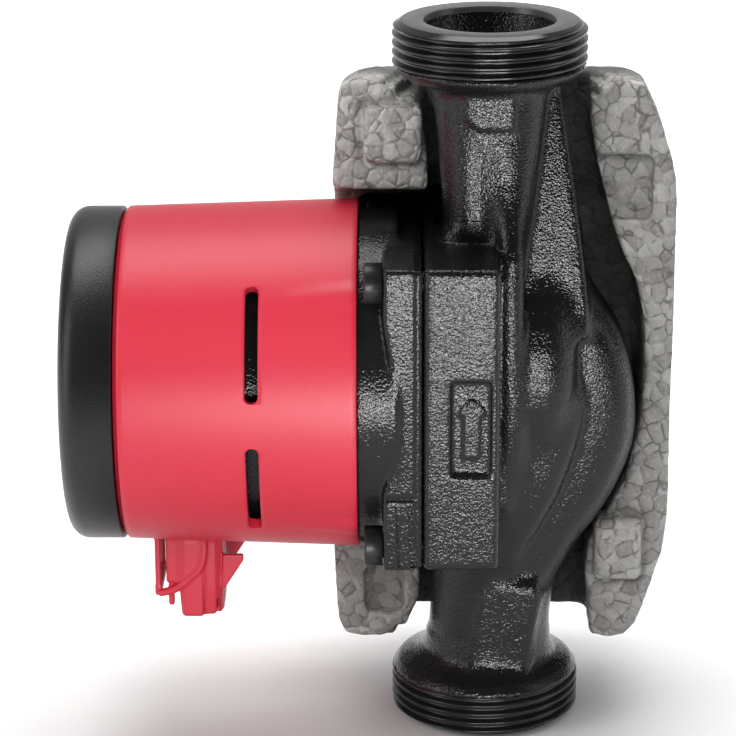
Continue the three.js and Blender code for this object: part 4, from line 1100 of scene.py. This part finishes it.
CAVITY_FRONT = [(-14.4, 40), (-14.9, 48), (-15.2, 55), (-16.9, 67.4), (-20.4, 74.4), (-21, 82), (26, 82),
                (25.2, 73), (25.2, 64), (27, 53), (30.6, 39), (33.8, 30), (37, 23.4), (39.2, 14), (39.8, 2),
                (38.8, -14), (35.6, -29), (31, -38), (26.4, -47), (25.7, -55), (26.9, -66), (27.4, -82),
                (-21, -82), (-20.6, -71), (-19, -67), (-16.8, -62), (-16.6, -44)]
CAVITY_SIDE = [(-4, 84), (20, 84), (21.5, 62), (26, 48), (33, 38), (34, 0), (33, -38), (26, -50),
               (22.5, -62), (20, -84), (-4, -84)]
FOAM_AXIS_X = 2.0           # the cavity's ends and the nut rooms are round about this line
NUT_ROOMS = ((25.0, 70.0, 0.6, 0.8), (27.5, 73.0, 0.5, 0.5))    # radius, start, edge and blend
MOTOR_ROOM_R = 46.6
FOAM_PEGS = [((-30.9, 54.3), (-16.4, 68.6)), ((27.6, -55.6), (39.8, -38.9))]
FOAM_RECESSES = [((24, 39.2), (40.6, 55.7)), ((-30.9, -66), (-21, -53))]
PEG_MOAT = 2.0


def foam_hollow(p):
    """The room for the casting, the union nuts, the bolted block and the motor."""
    x, y, z = p.T
    hollow = smooth_max(polygon(x, z, CAVITY_FRONT), polygon(y, z, CAVITY_SIDE), 5.0)
    for sign in (1, -1):
        for radius, start, edge, blend in NUT_ROOMS:
            room = slab(np.hypot(x - FOAM_AXIS_X, y) - radius, z * sign, start, PORT, edge)
            hollow = smooth_min(hollow, room, blend)
    pocket = block(p, (-32.2, -60, -39.6), (10, 41.4, 39.6), 3.0)
    motor = np.maximum(np.hypot(y, z) - MOTOR_ROOM_R, x - 5)
    return smooth_min(smooth_min(hollow, pocket, 1.5), motor, 1.0)


def foam_field(p):
    """The insulation half: its outer shape, less the hollow, with pegs and recesses on the split face."""
    x, y, z = p.T
    ends = np.hypot(x - FOAM_AXIS_X, y) - (38.2 + 0.9 * (75 - np.abs(z)))
    whole = smooth_max(polygon(x, z, FOAM_OUTLINE), polygon(y, z, FOAM_SIDE), 3.0)
    whole = smooth_max(whole, polygon(x, y, FOAM_PLAN), 3.0)
    whole = smooth_max(smooth_max(whole, ends, 2.0), 0.35 - y, 1.4)
    whole = smooth_max(whole, -foam_hollow(p), 2.0)
    for (x0, z0), (x1, z1) in FOAM_PEGS:
        moat = block(p, (x0 - PEG_MOAT, -6, z0 - PEG_MOAT), (x1 + PEG_MOAT, 2.2, z1 + PEG_MOAT), 2.6)
        whole = smooth_max(whole, -moat, 0.8)
        whole = smooth_min(whole, block(p, (x0, -3, z0), (x1, 6, z1), 1.8), 0.5)
    for (x0, z0), (x1, z1) in FOAM_RECESSES:
        whole = smooth_max(whole, -block(p, (x0, -6, z0), (x1, 6.0, z1), 2.4), 0.7)
    return whole


BEAD_SPACING = 3.0
BEAD_DENT = 0.14
BEAD_SEED = 7


def bead_centres(low, high, spacing, seed):
    """A grid of bead centres, each moved at random by less than half the spacing."""
    rng = np.random.default_rng(seed)
    axes = [np.arange(a, b, spacing) for a, b in zip(low, high)]
    grid = np.stack(np.meshgrid(*axes, indexing="ij"), axis=-1).reshape(-1, 3)
    return grid + rng.uniform(-0.45, 0.45, grid.shape) * spacing


def lump(obj, spacing, depth, seed):
    """Dents the surface along the seams between beads."""
    co = np.empty(len(obj.data.vertices) * 3)
    obj.data.vertices.foreach_get("co", co)
    co = co.reshape(-1, 3) / MM
    normals = np.array([v.normal for v in obj.data.vertices])
    centres = bead_centres(co.min(axis=0) - spacing, co.max(axis=0) + spacing, spacing, seed)
    tree = kdtree.KDTree(len(centres))
    for i, centre in enumerate(centres):
        tree.insert(centre, i)
    tree.balance()
    dent = np.empty(len(co))
    for i, point in enumerate(co):
        (_, _, first), (_, _, second) = tree.find_n(point, 2)
        dent[i] = math.exp(-((second - first) / (0.32 * spacing)) ** 2) * depth
    co = (co - normals * dent[:, None]) * MM
    obj.data.vertices.foreach_set("co", co.ravel())
    obj.data.update()
    return obj


def insulation():
    step = 0.95 if FINE else 1.8
    obj = net_object("insulation_shell", foam_field, (-41, -5, -77), (49, 56, 77), step)
    return lump(obj, BEAD_SPACING, BEAD_DENT, BEAD_SEED)


finish_piece(insulation(), "insulation", "bead_foam", "insulation_half")


# ---- the CAD pieces that stay ----

EDGE_BREAK = 0.25
SLOT_OF = {s["node"]: s["material_slot"] for s in frame["record"]["subparts"]}


def keep_cad_pieces():
    """Paints the CAD pieces that nothing replaces, and breaks their sharp edges."""
    for node, obj in frame["nodes"].items():
        if obj.hide_render:
            continue
        paint(obj, LOOKS[SLOT_OF[node]])
        modifier = obj.modifiers.new("edges", "BEVEL")
        modifier.width = EDGE_BREAK * MM
        modifier.segments = 2
        modifier.limit_method = "ANGLE"
        modifier.angle_limit = math.radians(40)
        modifier.harden_normals = False
        modifier.use_clamp_overlap = True


keep_cad_pieces()


# ---- floor, light and camera ----

FLOOR_HALF_WIDTH = 4.0
FLOOR_NEAR_Y = -3.0
FLOOR_FAR_Y = 1.6
WALL_BEND_R = 0.8
WALL_TOP = 4.0


def stage():
    """A pale floor that bends up into the wall behind, in metres."""
    floor_z = cad_box[0][2] - 0.0004
    verts, faces = [], []
    rows = [(FLOOR_NEAR_Y, 0.0), (FLOOR_FAR_Y, 0.0)]
    for i in range(1, 13):
        angle = math.radians(90 * i / 12)
        rows.append((FLOOR_FAR_Y + WALL_BEND_R * math.sin(angle), WALL_BEND_R * (1 - math.cos(angle))))
    rows.append((FLOOR_FAR_Y + WALL_BEND_R, WALL_TOP))
    for y, z in rows:
        for x in (-FLOOR_HALF_WIDTH, FLOOR_HALF_WIDTH):
            verts.append((x / MM, y / MM, (floor_z + z) / MM))
    for a in range(0, 2 * (len(rows) - 1), 2):
        faces.append((a, a + 1, a + 3, a + 2))
    floor = mesh_object("studio_floor", verts, faces)
    look = Look("studio_white", (0.86, 0.86, 0.86), 0.9, specular=0.1)
    look.color(look.mix(look.noise(400, 2.0), (0.85, 0.85, 0.85), (0.87, 0.87, 0.87)))
    paint(floor, look.material)


def area_light(name, place, target, size, watts):
    """A soft rectangular light, placed and aimed in metres."""
    data = bpy.data.lights.new(name, "AREA")
    data.shape = "RECTANGLE"
    data.size, data.size_y = size
    data.energy = watts
    obj = bpy.data.objects.new(name, data)
    obj.location = place
    obj.rotation_euler = (Vector(target) - Vector(place)).to_track_quat("-Z", "Y").to_euler()
    obj.visible_camera = False
    bpy.context.scene.collection.objects.link(obj)
    return obj


CARD_LIT = ("pump_casting", "outlet_thread", "inlet_thread", "motor_casting", "cap_screw_1", "cap_screw_2",
            "cap_screw_3", "cap_screw_4", "red_shell", "plug_socket")
FILL_LIT = ("insulation_shell", "red_shell", "plug_socket", "end_cap")
WORLD_STRENGTH = 0.40
CARD_X = 0.008
CARD_Z = -0.025


def light_only(light, names):
    """Keeps a light to some pieces, as flags and barn doors do."""
    chosen = bpy.data.collections.new(light.name + "_pieces")
    for name in names:
        chosen.objects.link(bpy.data.objects[name])
    light.light_linking.receiver_collection = chosen


def lights():
    """Soft light all round, a bright card low in front and softboxes overhead and at the sides."""
    world = bpy.data.worlds.new("studio")
    world.use_nodes = True
    background = world.node_tree.nodes["Background"]
    background.inputs["Color"].default_value = (1, 1, 1, 1)
    background.inputs["Strength"].default_value = WORLD_STRENGTH
    world.cycles_visibility.glossy = False
    bpy.context.scene.world = world
    card = area_light("front_card", (CARD_X, -0.30, CARD_Z), (CARD_X, 0, CARD_Z), (0.20, 0.054), 0.80)
    light_only(card, CARD_LIT)
    area_light("overhead", (-0.05, 0.16, 0.85), (0, 0, 0), (0.9, 0.45), 6.8)
    area_light("left_fill", (-0.75, -0.35, 0.30), (-0.05, 0, 0), (0.35, 0.7), 2.2)
    area_light("right_rim", (0.75, -0.10, 0.25), (0.02, 0, 0), (0.25, 0.7), 0.8)
    front = area_light("front_fill", (-0.16, -0.45, 0.34), (0, 0, 0.03), (0.5, 0.2), 2.2)
    light_only(front, FILL_LIT)
    front.visible_glossy = False
    wash = area_light("backdrop_wash", (0, 1.5, 1.3), (0, 1.2, 0), (3.0, 1.4), 24.0)
    wash.data.spread = math.radians(90)
    wash.visible_glossy = False


CAMERA_PLACE = (-0.02082, -0.7245, 0.23788)
CAMERA_PITCH = 18.11
CAMERA_YAW = -0.72
CAMERA_ROLL = -0.23
CAMERA_LENS = 148.17


def camera():
    data = bpy.data.cameras.new("camera")
    data.sensor_width = 36
    data.sensor_fit = "HORIZONTAL"
    data.lens = CAMERA_LENS
    data.clip_start = 0.05
    data.clip_end = 20
    obj = bpy.data.objects.new("camera", data)
    pitch, yaw, roll = (math.radians(a) for a in (CAMERA_PITCH, CAMERA_YAW, CAMERA_ROLL))
    level = Vector((math.sin(yaw), math.cos(yaw), 0))
    right = Vector((math.cos(yaw), -math.sin(yaw), 0))
    ahead = level * math.cos(pitch) + Vector((0, 0, -1)) * math.sin(pitch)
    up = right.cross(ahead)
    rolled_right = right * math.cos(roll) + up * math.sin(roll)
    rolled_up = -right * math.sin(roll) + up * math.cos(roll)
    turn = Matrix((rolled_right, rolled_up, -ahead)).transposed()
    obj.matrix_world = Matrix.Translation(CAMERA_PLACE) @ turn.to_4x4()
    bpy.context.scene.collection.objects.link(obj)
    bpy.context.scene.camera = obj


stage()
lights()
camera()
bpy.context.scene.view_settings.view_transform = "Standard"
